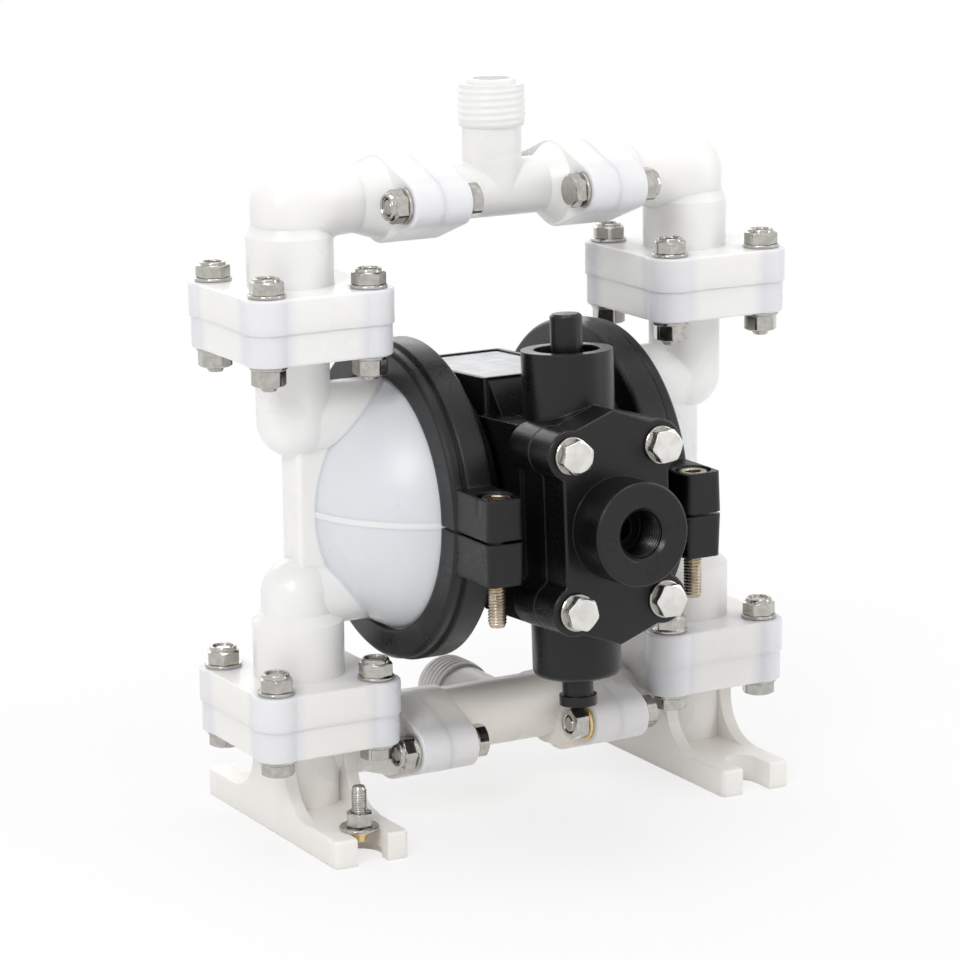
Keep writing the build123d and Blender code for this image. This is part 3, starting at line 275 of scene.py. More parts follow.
# Colours of the natural polypropylene
MILK_DEEP = (0.89, 0.883, 0.868)
MILK_PALE = (0.91, 0.904, 0.892)
MILK_WARM = (0.88, 0.82, 0.735)
MILK_BOLTS = (0.74, 0.745, 0.80)
MILK_DOME = (0.72, 0.74, 0.775)
MILK_STREAK = (0.95, 0.95, 0.95)
MILK_DEPTH = (0.0055, 0.005, 0.0045)  # how far light spreads in it, in metres

# Where its colour changes: the distance at which a change begins, and the one at which it ends
HEIGHT_WARM = (80.0, 0.0)  # over the floor
NEAR_BOLT = (10.8, 6.0)  # from the axis of a bolt of a four-bolt joint
NEAR_FLANGE = (12.5, 10.5)  # from the middle level of that joint
NEAR_SIDE_BOLT = (10.0, 5.5)  # from the axis of a bolt of a two-bolt joint
NEAR_TEE = (48.0, 45.0)  # from the middle of the pump
NEAR_BALL = (1.2, 0.6)  # from the ball that the dome is part of
OFF_SEAM = (0.6, 1.3)  # from the seam across the dome


def polypropylene(name, warmth):
    """Natural polypropylene: milky, warm where it is thick, cooler over the bolts and on the thin domes."""
    skin = Skin(name)
    x, y, z = skin.parts()
    cloud = skin.spread(skin.noise(30, 0.5), 0.25, 0.75)
    tone = skin.blend(cloud, MILK_DEEP, MILK_PALE)
    tone = skin.blend(skin.fade(z, HEIGHT_WARM, 0.0, warmth), tone, MILK_WARM)

    across = skin.off(skin.off(x, PIPE_X), FLANGE_BOLT_X)
    along = skin.off(y, FLANGE_BOLT_Y)
    from_joint = skin.off(skin.off(z, SHAFT_Z), FLANGE_LEVEL)
    corner = skin.fade(skin.length(across, along), NEAR_BOLT)
    corner = skin.math("MULTIPLY", corner, skin.fade(from_joint, NEAR_FLANGE))
    from_pipe = skin.off(skin.off(z, PIPE_MIDDLE), PIPE_HALF)
    side = skin.fade(skin.length(skin.off(y, OVAL_Y), from_pipe), NEAR_SIDE_BOLT)
    side = skin.math("MULTIPLY", side, skin.fade(skin.math("ABSOLUTE", x), NEAR_TEE))
    tone = skin.blend(skin.most(corner, side), tone, MILK_BOLTS)

    reach = skin.length(skin.length(skin.off(x, DOME_CENTRE), y), skin.shift(z, SHAFT_Z))
    dome = skin.fade(skin.off(reach, DOME_RADIUS), NEAR_BALL)
    seam = skin.fade(skin.off(z, SHAFT_Z), OFF_SEAM, 0.45, 1.0)
    tone = skin.blend(skin.math("MULTIPLY", dome, seam), tone, MILK_DOME)

    streak = skin.spread(skin.noise(45, 0.5, stretch=(1, 1, 0.3)), 0.25, 0.8, 0.0, 0.12)
    skin.colour(skin.blend(streak, tone, MILK_STREAK))
    skin.roughness(skin.spread(skin.noise(60, 0.5), 0.2, 0.8, 0.26, 0.36))
    grain = skin.add_up(skin.noise(1500, 2), skin.noise(140, 3), 1.6)
    skin.bump(grain, strength=0.08, depth=0.3)
    skin.set(Subsurface_Weight=0.3, Subsurface_Radius=MILK_DEPTH, Subsurface_Scale=1.0, IOR=1.49)
    return skin.material


# Colours of the black nylon
COAL_DEEP = (0.0036, 0.0036, 0.004)
COAL_PALE = (0.0052, 0.0052, 0.0058)
COAL_FLECK = (0.035, 0.035, 0.037)


def black_nylon(name, soft_edge):
    """Glass-filled black nylon: satin, with a fine grain and glass flecks."""
    skin = Skin(name)
    cloud = skin.spread(skin.noise(40, 1), 0.3, 0.7)
    tone = skin.blend(cloud, COAL_DEEP, COAL_PALE)
    fleck = skin.spread(skin.noise(2600, 1), 0.66, 0.8, 0.0, 0.12)
    skin.colour(skin.blend(fleck, tone, COAL_FLECK))
    worn = skin.add_up(skin.noise(70, 5), skin.noise(900, 2), 0.35)
    skin.roughness(skin.spread(worn, 0.4, 0.95, 0.24, 0.37))
    grain = skin.add_up(skin.noise(1100, 3), skin.noise(210, 3), 0.8)
    skin.bump(grain, strength=0.13, depth=0.3, soft_edge=soft_edge)
    skin.set(IOR=1.53, Specular_IOR_Level=0.36)
    return skin.material


def metal(name, low, high, smooth, rough, stretch=(1, 1, 1), grain=1800, strength=0.06, cloud=160):
    """Bright metal with a turned or rolled grain and uneven polish."""
    skin = Skin(name)
    skin.colour(skin.blend(skin.spread(skin.noise(cloud, 4), 0.35, 0.65), low, high))
    skin.roughness(skin.spread(skin.noise(420, 4, stretch), 0.3, 0.7, smooth, rough))
    skin.bump(skin.noise(grain, 3, stretch), strength, depth=0.2, soft_edge=0.3)
    skin.set(Metallic=1.0)
    return skin.material


def plastic(name, low, high, rough):
    """A plain moulded or turned plastic or rubber."""
    skin = Skin(name)
    skin.colour(skin.blend(skin.spread(skin.noise(70, 4), 0.35, 0.65), low, high))
    skin.roughness(skin.spread(skin.noise(300, 3), 0.3, 0.7, rough - 0.06, rough + 0.08))
    skin.bump(skin.noise(900, 3), strength=0.1, depth=0.3)
    return skin.material


STEEL_LOW = (0.43, 0.415, 0.385)
STEEL_HIGH = (0.51, 0.495, 0.465)
looks = {
    "white": polypropylene("white_polypropylene_skin", warmth=0.35),
    "warm_white": polypropylene("warm_polypropylene_skin", warmth=1.0),
    "black": black_nylon("black_nylon_grain", soft_edge=0.6),
    "black_round": black_nylon("black_nylon_round_edges", soft_edge=1.6),
    "black_sharp": black_nylon("black_nylon_sharp_edges", soft_edge=0.0),
    "steel": metal("stainless_steel_turned", STEEL_LOW, STEEL_HIGH, 0.10, 0.20, cloud=420),
    "polished": metal("stainless_steel_polished", (0.66, 0.65, 0.62), (0.80, 0.79, 0.76), 0.22, 0.36),
    "thread": metal("stainless_steel_threaded", (0.40, 0.34, 0.26), (0.58, 0.50, 0.40), 0.2, 0.34),
    "brass": metal("brass_turned", (0.60, 0.42, 0.17), (0.80, 0.61, 0.30), 0.2, 0.36),
    "aluminium": metal(
        "aluminium_cast", (0.58, 0.58, 0.59), (0.72, 0.72, 0.73), 0.34, 0.5, grain=900, strength=0.12
    ),
    "plate": metal(
        "bare_plate_brushed", (0.34, 0.345, 0.355), (0.42, 0.425, 0.435), 0.34, 0.46, stretch=(0.05, 1, 1)
    ),
    "ptfe": plastic("ptfe_skived", (0.78, 0.78, 0.76), (0.86, 0.86, 0.85), 0.4),
    "rubber": plastic("rubber_moulded", (0.012, 0.012, 0.013), (0.022, 0.022, 0.022), 0.62),
    "white_plate": plastic("white_plate_moulded", (0.74, 0.74, 0.73), (0.82, 0.82, 0.81), 0.42),
    "bearing": plastic("bearing_plastic_turned", (0.55, 0.53, 0.46), (0.66, 0.64, 0.57), 0.45),
}
slot_looks = {
    "white_polypropylene": "white",
    "ptfe": "ptfe",
    "white_plate": "white_plate",
    "black_nylon": "black",
    "rubber": "rubber",
    "stainless_steel": "steel",
    "aluminium": "aluminium",
    "brass": "brass",
    "bearing_plastic": "bearing",
}
own_looks = {
    "inlet_tee": "warm_white",
    "upper_reset_pin": "black",
    "lower_reset_pin": "black",
    "left_upper_band": "black_round",
    "left_lower_band": "black_round",
    "right_upper_band": "black_round",
    "right_lower_band": "black_round",
}
node_slots = {row["node"]: row["material_slot"] for row in frame["record"]["subparts"]}
for name, thing in nodes.items():
    look = own_looks.get(name, slot_looks[node_slots[name]])
    thing.data.materials.clear()
    thing.data.materials.append(looks[look])


# Places
def place_at(origin, axis, across=(1, 0, 0)):
    """A placement whose Z is the axis and whose X lies along across."""
    z = Vector(axis).normalized()
    x = Vector(across)
    x = (x - z * x.dot(z)).normalized()
    matrix = Matrix((x, z.cross(x), z)).transposed().to_4x4()
    matrix.translation = Vector(origin)
    return matrix


LEAN = Matrix.Translation((0, 0, SHAFT_Z)) @ Matrix.Rotation(-CENTRE_TURN, 4, "X")


def leaned(origin, axis):
    """A placement in the centre section, which is turned about the shaft."""
    return LEAN @ place_at(origin, axis)


def up_at(x, y, z):
    return place_at((x, y, z), (0, 0, 1))


def down_at(x, y, z):
    return place_at((x, y, z), (0, 0, -1))


def outward(x, z, y):
    return place_at((x, y, z), (1, 0, 0), (0, 1, 0))


def inward(x, z, y):
    return place_at((x, y, z), (-1, 0, 0), (0, -1, 0))


# Meshes
AROUND = 72  # points around a turned form
FINE_AROUND = 96  # points around a pipe thread
MIDDLE = 0.2  # radius of the small ring in the middle of an end
CORNER_CUT = 0.22  # softens the six corners of a hexagon
CHAMFER_SLOPE = 0.55
SEAT_CUT = 0.12
WASHER_EDGE = 0.25
THREAD_FADE = 0.8  # turns over which a thread starts and ends


class Lathe:
    """Collects turned, hexagonal and swept forms in one mesh."""

    def __init__(self):
        self.verts = []
        self.faces = []

    def join(self, sections, cap_first=False, cap_last=False):
        """Joins sections, which are closed rows of as many points each, in metres."""
        start = len(self.verts)
        count = len(sections[0])
        for section in sections:
            self.verts += section
        for i in range(len(sections) - 1):
            low = start + i * count
            high = low + count
            for j in range(count):
                k = (j + 1) % count
                self.faces.append((low + j, low + k, high + k, high + j))
        if cap_first:
            self.faces.append(tuple(start + j for j in reversed(range(count))))
        if cap_last:
            last = start + (len(sections) - 1) * count
            self.faces.append(tuple(last + j for j in range(count)))

    def rings(self, place, rings, capped=True, turn=0.0, around=AROUND):
        """Joins rings: each is (radius, height), or a function that gives both for an angle."""
        sections = []
        for ring in rings:
            section = []
            for j in range(around):
                angle = 2 * math.pi * j / around
                radius, height = ring(angle) if callable(ring) else ring
                x = radius * math.cos(angle + turn)
                y = radius * math.sin(angle + turn)
                section.append(place @ Vector((x, y, height)) * MM)
            sections.append(section)
        self.join(sections, cap_first=capped, cap_last=capped)

    def piece(self, name, look, body, slot, stands_for=None, sharp=24, closed=True):
        """Makes the piece. Edges over sharp degrees stay sharp, and a closed skin faces outwards."""
        mesh = bpy.data.meshes.new(name)
        mesh.from_pydata([tuple(v) for v in self.verts], [], self.faces)
        if closed:
            work = bmesh.new()
            work.from_mesh(mesh)
            bmesh.ops.recalc_face_normals(work, faces=work.faces)
            work.to_mesh(mesh)
            work.free()
        mesh.update()
        mesh.shade_smooth()
        mesh.set_sharp_from_angle(angle=math.radians(sharp))
        mesh.materials.append(looks[look])
        piece = bpy.data.objects.new(name, mesh)
        bpy.context.scene.collection.objects.link(piece)
        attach(piece, body)
        if stands_for:
            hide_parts(stands_for)
        return piece


def hexagon(across):
    """Radius of a hexagon with softened corners at an angle."""
    corner = across / 2 / math.cos(math.pi / 6) - CORNER_CUT

    def radius(angle):
        return min(across / 2 / math.cos(angle % (math.pi / 3) - math.pi / 6), corner)

    return radius


def chamfered(across, height, face_radius, both=False):
    """Rings of a hexagon whose corners are turned down to a cone at its face, or at both faces."""
    radius = hexagon(across)

    def fall(angle):
        return max(0.0, radius(angle) - face_radius) * CHAMFER_SLOPE

    def top(angle):
        return radius(angle), height - fall(angle)

    def bottom(angle):
        return radius(angle), fall(angle)

    def seat(angle):
        return radius(angle) - SEAT_CUT, 0.0

    def over_seat(angle):
        return radius(angle), SEAT_CUT

    first = [(face_radius, 0.0), bottom] if both else [seat, over_seat]
    return [*first, top, (face_radius, height)]


def threaded(start, length, root, crest, pitch, per_pitch=8, rounded=False):
    """Rings of a screw thread that runs along Z from start; crest below root makes one for a bore."""
    count = max(6, int(abs(length) / pitch * per_pitch))

    def ring(i):
        along = length * i / count

        def at(angle):
            phase = (along / pitch - angle / (2 * math.pi)) % 1.0
            wave = 0.5 - 0.5 * math.cos(2 * math.pi * phase) if rounded else 1 - abs(2 * phase - 1)
            to_end = min(abs(along), abs(length - along))
            ends = min(1.0, to_end / (THREAD_FADE * pitch))
            return root + (crest - root) * wave * ends, start + along

        return at

    return [ring(i) for i in range(count + 1)]


def washer_rings(outer, inner, thickness):
    """The section of a pressed washer, with its rims a little rounded."""
    edge = WASHER_EDGE
    bore = WASHER_EDGE / 2
    return [
        (inner, bore),
        (inner + bore, 0),
        (outer - edge, 0),
        (outer, edge),
        (outer, thickness - edge),
        (outer - edge, thickness),
        (inner + bore, thickness),
        (inner, thickness - bore),
        (inner, bore),
    ]


# Forms of the bolts and nuts
FACE_INSET = 0.35  # from the flats to the rim of the turned face
LOCK_INSET = 0.3
GAP = 0.02  # keeps a bolt off its nut and a skin off the solid under it
NUT_BEVEL = 0.35
NUT_BORE_END = 0.2
M6_PITCH = 1.0
M6_ROOT = 0.42
M6_CREST = 0.01
FLANGE_THREAD = 12.0  # length of thread on each kind of bolt
SIDE_THREAD = 9.0
COVER_THREAD = 16.0
CLAMP_THREAD = 26.0
BOLT_POINT = 0.45
CLAMP_POINT = 0.7
KNURL = 0.16
DISH_RISE = 1.0
# Radius and depth under the top of a dished head, and of a lock nut's collar
DISH = (
    (4.25, DISH_RISE),
    (4.2, 0.45),
    (3.95, 0.12),
    (3.6, 0.0),
    (3.2, 0.06),
    (2.95, 0.5),
    (2.9, 1.2),
    (1.9, 1.25),
    (1.7, 1.05),
    (MIDDLE, 1.05),
)
COLLAR = (
    (4.5, LOCK_COLLAR),
    (4.48, 0.7),
    (4.3, 0.25),
    (3.95, 0.0),
    (3.55, 0.02),
    (3.35, 0.3),
    (3.3, 0.75),
    (BOLT_R + GAP, 0.8),
)
draw = random.Random(7)


def random_turn():
    return draw.uniform(0, math.pi / 3)


def shank(lathe, place, length, thread, turn, point=BOLT_POINT):
    """The part of a bolt under its head: plain, then a screw thread to the bevelled end."""
    plain = thread - length
    lathe.rings(place, [(BOLT_R - GAP, 0), (BOLT_R - GAP, plain)], turn=turn)
    rings = threaded(plain, point - thread, BOLT_R - M6_ROOT, BOLT_R - M6_CREST, M6_PITCH)
    rings += [(BOLT_R - 0.45, point - length), (BOLT_R - 0.75, -length), (MIDDLE, -length)]
    lathe.rings(place, rings, turn=turn)


def hex_bolt(lathe, place, height, length, thread, dished=False):
    """A hexagon bolt, whose head stands up from its place."""
    turn = random_turn()
    face = HEX / 2 - FACE_INSET
    if dished:
        rings = chamfered(HEX, height - DISH_RISE, face)
        rings += [(radius, height - depth) for radius, depth in DISH]
    else:
        rings = chamfered(HEX, height, face)
        rings += [(MIDDLE, height)]
    lathe.rings(place, rings, turn=turn)
    shank(lathe, place, length, thread, turn)


def plain_nut(lathe, place):
    rings = chamfered(HEX, NUT, HEX / 2 - FACE_INSET)
    rings += [(BOLT_R + NUT_BEVEL, NUT), (BOLT_R + GAP, NUT - NUT_BEVEL), (BOLT_R + GAP, NUT_BORE_END)]
    lathe.rings(place, rings, capped=False, turn=random_turn())


def lock_nut(lathe, place):
    top = LOCK_NUT + LOCK_COLLAR
    rings = chamfered(HEX, LOCK_NUT, HEX / 2 - LOCK_INSET)
    rings += [(radius, top - depth) for radius, depth in COLLAR]
    rings += [(BOLT_R + GAP, NUT_BORE_END)]
    lathe.rings(place, rings, capped=False, turn=random_turn())


def socket_bolt(lathe, place):
    """A clamp bolt with a knurled round head and a hexagon socket."""
    turn = random_turn()
    socket = hexagon(SOCKET_ACROSS)
    floor = SOCKET_HEIGHT - SOCKET_DEPTH

    def knurled(height, inset):
        def at(angle):
            groove = KNURL if int(angle / (2 * math.pi) * AROUND) % 2 else 0.0
            return SOCKET_R - inset - groove, height

        return at

    def hollow(height, bevel):
        return lambda angle: (socket(angle) + bevel, height)

    rings = [(BOLT_R, 0), knurled(0, 0.1), knurled(0.2, 0.0), knurled(SOCKET_HEIGHT - 0.9, 0.0)]
    rings += [(SOCKET_R - 0.1, SOCKET_HEIGHT - 0.6), (SOCKET_R - 0.65, SOCKET_HEIGHT), (3.2, SOCKET_HEIGHT)]
    rings += [hollow(SOCKET_HEIGHT - 0.1, 0.12), hollow(SOCKET_HEIGHT - 0.3, 0.0), hollow(floor, 0.0)]
    rings += [(MIDDLE, floor - 0.6)]
    lathe.rings(place, rings, turn=turn)
    shank(lathe, place, CLAMP_LENGTH, CLAMP_THREAD, turn, point=CLAMP_POINT)


# Fasteners of the joints: the same places as the solids that they stand for
flange_points = [
    (pipe + across, along)
    for pipe in (-PIPE_X, PIPE_X)
    for across in (-FLANGE_BOLT_X, FLANGE_BOLT_X)
    for along in (-FLANGE_BOLT_Y, FLANGE_BOLT_Y)
]
joint = LOWER_JOINT_TOP - FOOT_FLANGE
upper_length = joint + 2 * WASHER + NUT + THREAD_END
lower_length = joint + 2 * WASHER + LOCK_NUT + LOCK_COLLAR + LOCK_THREAD_END
side_length = OVAL_OUTER - OVAL_INNER + 2 * WASHER + NUT
upper_bolts = Lathe()
lower_bolts = Lathe()
side_bolts = Lathe()
locks = Lathe()
plains = Lathe()
washers = Lathe()
brasses = Lathe()
lock_places = [up_at(x, y, LOWER_JOINT_TOP + WASHER) for x, y in flange_points]
plain_places = [down_at(x, y, CHAMBER_TOP - WASHER) for x, y in flange_points]
side_places = []
washer_places = []
brass_places = []
for x, y in flange_points:
    hex_bolt(upper_bolts, up_at(x, y, MANIFOLD_TOP + WASHER), TALL_HEAD, upper_length, FLANGE_THREAD, True)
    hex_bolt(lower_bolts, down_at(x, y, FOOT_FLANGE - WASHER), HEAD, lower_length, FLANGE_THREAD)
    washer_places += [up_at(x, y, MANIFOLD_TOP), down_at(x, y, CHAMBER_TOP)]
    washer_places += [up_at(x, y, LOWER_JOINT_TOP), down_at(x, y, FOOT_FLANGE)]

# The heads of the two-bolt joints are on the tee's side, but outside at the right of the inlet
head_x = OVAL_INNER - WASHER
nut_x = OVAL_OUTER + WASHER
for y in (-OVAL_Y, OVAL_Y):
    for z in (TOP_PIPE, BOTTOM_PIPE):
        side_places.append(outward(-head_x, z, y))
        lock_places.append(inward(-nut_x, z, y))
        washer_places += [outward(-OVAL_INNER, z, y), inward(-OVAL_OUTER, z, y)]
    side_places.append(inward(head_x, TOP_PIPE, y))
    lock_places.append(outward(nut_x, TOP_PIPE, y))
    washer_places += [inward(OVAL_INNER, TOP_PIPE, y), outward(OVAL_OUTER, TOP_PIPE, y)]
    side_places.append(outward(nut_x, BOTTOM_PIPE, y))
    plain_places.append(inward(head_x, BOTTOM_PIPE, y))
    washer_places.append(outward(OVAL_OUTER, BOTTOM_PIPE, y))
    brass_places.append(inward(OVAL_INNER, BOTTOM_PIPE, y))
for place in side_places:
    hex_bolt(side_bolts, place, HEAD, side_length, SIDE_THREAD)
for place in lock_places:
    lock_nut(locks, place)
for place in plain_places:
    plain_nut(plains, place)

# Bolts of the valve cover, and all washers
cover_places = [
    leaned((x, -COVER_FRONT, VALVE_DROP + z), (0, -1, 0))
    for x in (-COVER_BOLT_X, COVER_BOLT_X)
    for z in (-COVER_BOLT_Z, COVER_BOLT_Z)
]
cover_bolts = Lathe()
for place in cover_places:
    seat = place @ Matrix.Translation((0, 0, WASHER))
    hex_bolt(cover_bolts, seat, HEAD, COVER_BOLT_LENGTH, COVER_THREAD)
for place in washer_places + cover_places:
    washers.rings(place, washer_rings(WASHER_R, WASHER_HOLE, WASHER), capped=False)
for place in brass_places:
    brasses.rings(place, washer_rings(WASHER_R, WASHER_HOLE, WASHER), capped=False)

# Clamp bolts
clamps = Lathe()
for x in (-EAR_X, EAR_X):
    for y in (-EAR_Y, EAR_Y):
        socket_bolt(clamps, up_at(x, y, SHAFT_Z + EAR_RISE - SOCKET_RECESS))

upper_bolts.piece("upper_flange_bolts_turned", "steel", "pump", "stainless_steel", "upper_flange_bolts")
lower_bolts.piece("lower_flange_bolts_turned", "steel", "pump", "stainless_steel", "lower_flange_bolts")
side_bolts.piece("manifold_bolts_turned", "steel", "pump", "stainless_steel", "manifold_bolts")
locks.piece("lock_nuts_turned", "steel", "pump", "stainless_steel", "lock_nuts")
plains.piece("plain_nuts_turned", "steel", "pump", "stainless_steel", "plain_nuts")
washers.piece("steel_washers_pressed", "steel", "pump", "stainless_steel", "steel_washers")
brasses.piece("brass_washers_pressed", "brass", "pump", "brass", "brass_washers")
cover_bolts.piece("cover_bolts_bright", "polished", "pump", "stainless_steel", "cover_bolts")
clamps.piece("band_bolts_threaded", "thread", "pump", "stainless_steel", "band_bolts")

# Earth terminal: a stud through the foot, with a brass stub under it in place of the solid's flat head
EARTH_PITCH = 0.8
EARTH_ROOT = 0.36
STUB_BOTTOM = 2.2
STUB_STEP = 4.2
STUB_TOP = 5.95
earth_place = up_at(-FOOT_X, -SLOT_END_Y, EARTH_RECESS)
stud_top = EARTH_TOP - EARTH_RECESS
stud = Lathe()
rings = [(MIDDLE, STUB_BOTTOM + 0.6), (EARTH_R - EARTH_ROOT, STUB_BOTTOM + 0.6)]
thread_length = stud_top - STUB_BOTTOM - 1.6
rings += threaded(STUB_BOTTOM + 1.0, thread_length, EARTH_R - EARTH_ROOT, EARTH_R, EARTH_PITCH)
rings += [(EARTH_R - 0.35, stud_top - 0.5), (EARTH_R - 0.65, stud_top), (MIDDLE, stud_top)]
stud.rings(earth_place, rings)
stud.piece("earth_stud_threaded", "steel", "pump", "stainless_steel", "earth_stud")
stub = Lathe()
rings = [(MIDDLE, STUB_BOTTOM), (2.1, STUB_BOTTOM), (2.35, STUB_BOTTOM + 0.3), (2.55, STUB_STEP)]
rings += [(3.3, STUB_STEP + 0.3), (3.3, STUB_TOP), (MIDDLE, STUB_TOP)]
stub.rings(earth_place, rings)
stub.piece("earth_stub", "brass", "pump", "brass")
earth_washer = Lathe()
rings = washer_rings(EARTH_WASHER_R, EARTH_WASHER_HOLE, EARTH_WASHER)
earth_washer.rings(up_at(-FOOT_X, -SLOT_END_Y, FOOT_HEIGHT), rings, capped=False)
earth_washer.piece("earth_washer_pressed", "steel", "pump", "stainless_steel", "earth_washer")
earth_nut = Lathe()
rings = chamfered(EARTH_NUT_ACROSS, EARTH_NUT, EARTH_NUT_ACROSS / 2 - LOCK_INSET, both=True)
rings += [(EARTH_R + 0.4, EARTH_NUT), (EARTH_R + 0.03, EARTH_NUT - 0.4), (EARTH_R + 0.03, NUT_BORE_END)]
nut_place = up_at(-FOOT_X, -SLOT_END_Y, FOOT_HEIGHT + EARTH_WASHER)
earth_nut.rings(nut_place, rings, capped=False, turn=random_turn())
earth_nut.piece("earth_nut_turned", "steel", "pump", "stainless_steel", "earth_nut")

# Pipe threads: a skin around each spigot, and one inside the air port
SPIGOT_PITCH = 2.2
SPIGOT_CREST = 0.42
SPIGOT_INSET = 0.1
INLET_THREAD_START = 1.3
INLET_THREAD_LENGTH = 12.0
INLET_PITCH = 1.34
INLET_CREST = 0.6
PIPE_STEPS = 12  # rings in one turn


def spigot_thread(name, place):
    root = SPIGOT_R + GAP
    crest = SPIGOT_R + SPIGOT_CREST
    rings = [(SPIGOT_R - SPIGOT_INSET, 0.2)]
    rings += threaded(0.3, SPIGOT_LENGTH - 0.6, root, crest, SPIGOT_PITCH, PIPE_STEPS, rounded=True)
    rings += [(SPIGOT_R - SPIGOT_INSET, SPIGOT_LENGTH - 0.2)]
    skin = Lathe()
    skin.rings(place, rings, capped=False, around=FINE_AROUND)
    skin.piece(name, "white", "pump", "white_polypropylene", sharp=70, closed=False)


spigot_thread("outlet_thread", up_at(0, 0, OUTLET_SHOULDER - SPIGOT_LENGTH))
spigot_thread("inlet_thread", place_at((0, INLET_SHOULDER - SPIGOT_LENGTH, INLET_Z), (0, 1, 0)))
bore = Lathe()
root = INLET_BORE - GAP
crest = INLET_BORE - INLET_CREST
rings = threaded(-INLET_THREAD_START, -INLET_THREAD_LENGTH, root, crest, INLET_PITCH, PIPE_STEPS)
bore.rings(leaned((0, -INLET_FACE, VALVE_DROP), (0, -1, 0)), rings, capped=False, around=FINE_AROUND)
bore.piece("air_inlet_thread", "black_sharp", "pump", "black_nylon", sharp=70, closed=False)

# A skin makes the bend of each outlet elbow run smoothly from the upright pipe into the level one.
# It stands up to 1.8 mm over the solid round the inner corner, and up to 0.8 mm on the outer side.
BEND_R = 11.9  # radius of the upright pipe
BEND_PIPE_R = 10.28  # radius of the level pipe, less GAP
BEND_LENGTH = 23.0  # from the corner to where the skin ends on the level pipe
BEND_TURN = 16.0  # from the centre of the bend to the axis of each pipe
BEND_SKIN = 0.35  # how far the skin swells over the ball of the corner
BEND_POWER = 6  # squareness of the middle line
BEND_SQUARE = 0.2  # squareness of the outside
BEND_STEPS = 24
LEVEL_STEPS = 6


def bend_radius(along):
    """Radius of the skin at a distance from the corner: it tapers to that of the level pipe."""
    share = along / BEND_LENGTH
    return BEND_R + (BEND_PIPE_R - BEND_R) * share * share * (3 - 2 * share)


def bend_outside(turn):
    """From the centre of the bend to its outside: upright pipe, ball of the corner, tapered pipe."""
    cos_turn = math.cos(turn)
    sin_turn = math.sin(turn)
    far = BEND_TURN + BEND_R
    if sin_turn * far <= BEND_TURN * cos_turn:
        return far / cos_turn
    if cos_turn * far <= BEND_TURN * sin_turn:
        along = max(0.0, BEND_TURN - far * cos_turn / sin_turn)
        return (BEND_TURN + bend_radius(along)) / sin_turn
    corner = BEND_TURN * math.sqrt(2)
    off = turn - math.pi / 4
    return corner * math.cos(off) + math.sqrt(BEND_R ** 2 - (corner * math.sin(off)) ** 2)


def bend_ring(turn, side):
    """One section through the bend: rounder outside, stretched towards the inside."""
    cos_turn = math.cos(turn)
    sin_turn = math.sin(turn)
    swell = math.sin(2 * turn) ** 2
    skin = GAP + BEND_SKIN * swell
    middle = BEND_TURN / (cos_turn ** BEND_POWER + sin_turn ** BEND_POWER) ** (1 / BEND_POWER)
    level = max(0.0, BEND_TURN * (1 - cos_turn / sin_turn)) if sin_turn else 0.0
    width = bend_radius(level) + skin
    outer = bend_outside(turn) + skin - middle
    inner = middle - BEND_TURN + bend_radius(BEND_TURN * turn / (math.pi / 2))
    power = 2 / (2 + BEND_SQUARE * swell)
    ring = []
    for j in range(AROUND):
        angle = 2 * math.pi * j / AROUND
        away = math.cos(angle)
        aside = math.sin(angle)
        if away > 0:
            reach = middle + outer * away ** power
            across = math.copysign(width * abs(aside) ** power, aside)
        else:
            reach = middle + inner * away
            across = width * aside
        x = PIPE_X - BEND_TURN + reach * cos_turn
        z = TOP_PIPE - BEND_TURN + reach * sin_turn
        ring.append(Vector((side * x, across, z)) * MM)
    return ring


def level_ring(along, side):
    """One section through the level pipe, in the same order of points."""
    radius = bend_radius(along) + GAP
    ring = []
    for j in range(AROUND):
        angle = 2 * math.pi * j / AROUND
        height = TOP_PIPE + radius * math.cos(angle)
        ring.append(Vector((side * (PIPE_X - along), radius * math.sin(angle), height)) * MM)
    return ring


def bend_skin(name, side):
    sections = [bend_ring(math.pi / 2 * i / BEND_STEPS, side) for i in range(BEND_STEPS + 1)]
    for i in range(1, LEVEL_STEPS + 1):
        sections.append(level_ring(BEND_TURN + (BEND_LENGTH - BEND_TURN) * i / LEVEL_STEPS, side))
    bend = Lathe()
    bend.join(sections)
    bend.piece(name, "white", "pump", "white_polypropylene", sharp=60)


bend_skin("left_bend_skin", -1)
bend_skin("right_bend_skin", 1)

# Bare plate on the shaft box
PLATE_WIDTH = 33.8
PLATE_LENGTH = 52.8
PLATE_THICK = 0.45
PLATE_CORNER = 1.6
PLATE_EDGE = 0.12
CORNER_STEPS = 6


def rounded_outline(width, length, corner):
    """Points of a rectangle with round corners, from the first corner on."""
    points = []
    for k, (side_x, side_y) in enumerate(((1, 1), (-1, 1), (-1, -1), (1, -1))):
        for i in range(CORNER_STEPS + 1):
            angle = math.pi / 2 * (k + i / CORNER_STEPS)
            x = side_x * (width / 2 - corner) + corner * math.cos(angle)
            y = side_y * (length / 2 - corner) + corner * math.sin(angle)
            points.append((x, y))
    return points


def box_plate():
    """A bare plate that lies in the recess, with its rim a little rounded."""
    place = leaned((0, 0, BOX_TOP - PLATE_RECESS), (0, 0, 1))
    sections = []
    for inset, height in ((0.0, 0.0), (0.0, PLATE_THICK - PLATE_EDGE), (PLATE_EDGE, PLATE_THICK)):
        outline = rounded_outline(PLATE_WIDTH - 2 * inset, PLATE_LENGTH - 2 * inset, PLATE_CORNER - inset)
        sections.append([place @ Vector((x, y, height)) * MM for x, y in outline])
    plate = Lathe()
    plate.join(sections, cap_last=True)
    plate.piece("box_plate", "plate", "pump", "aluminium")


box_plate()

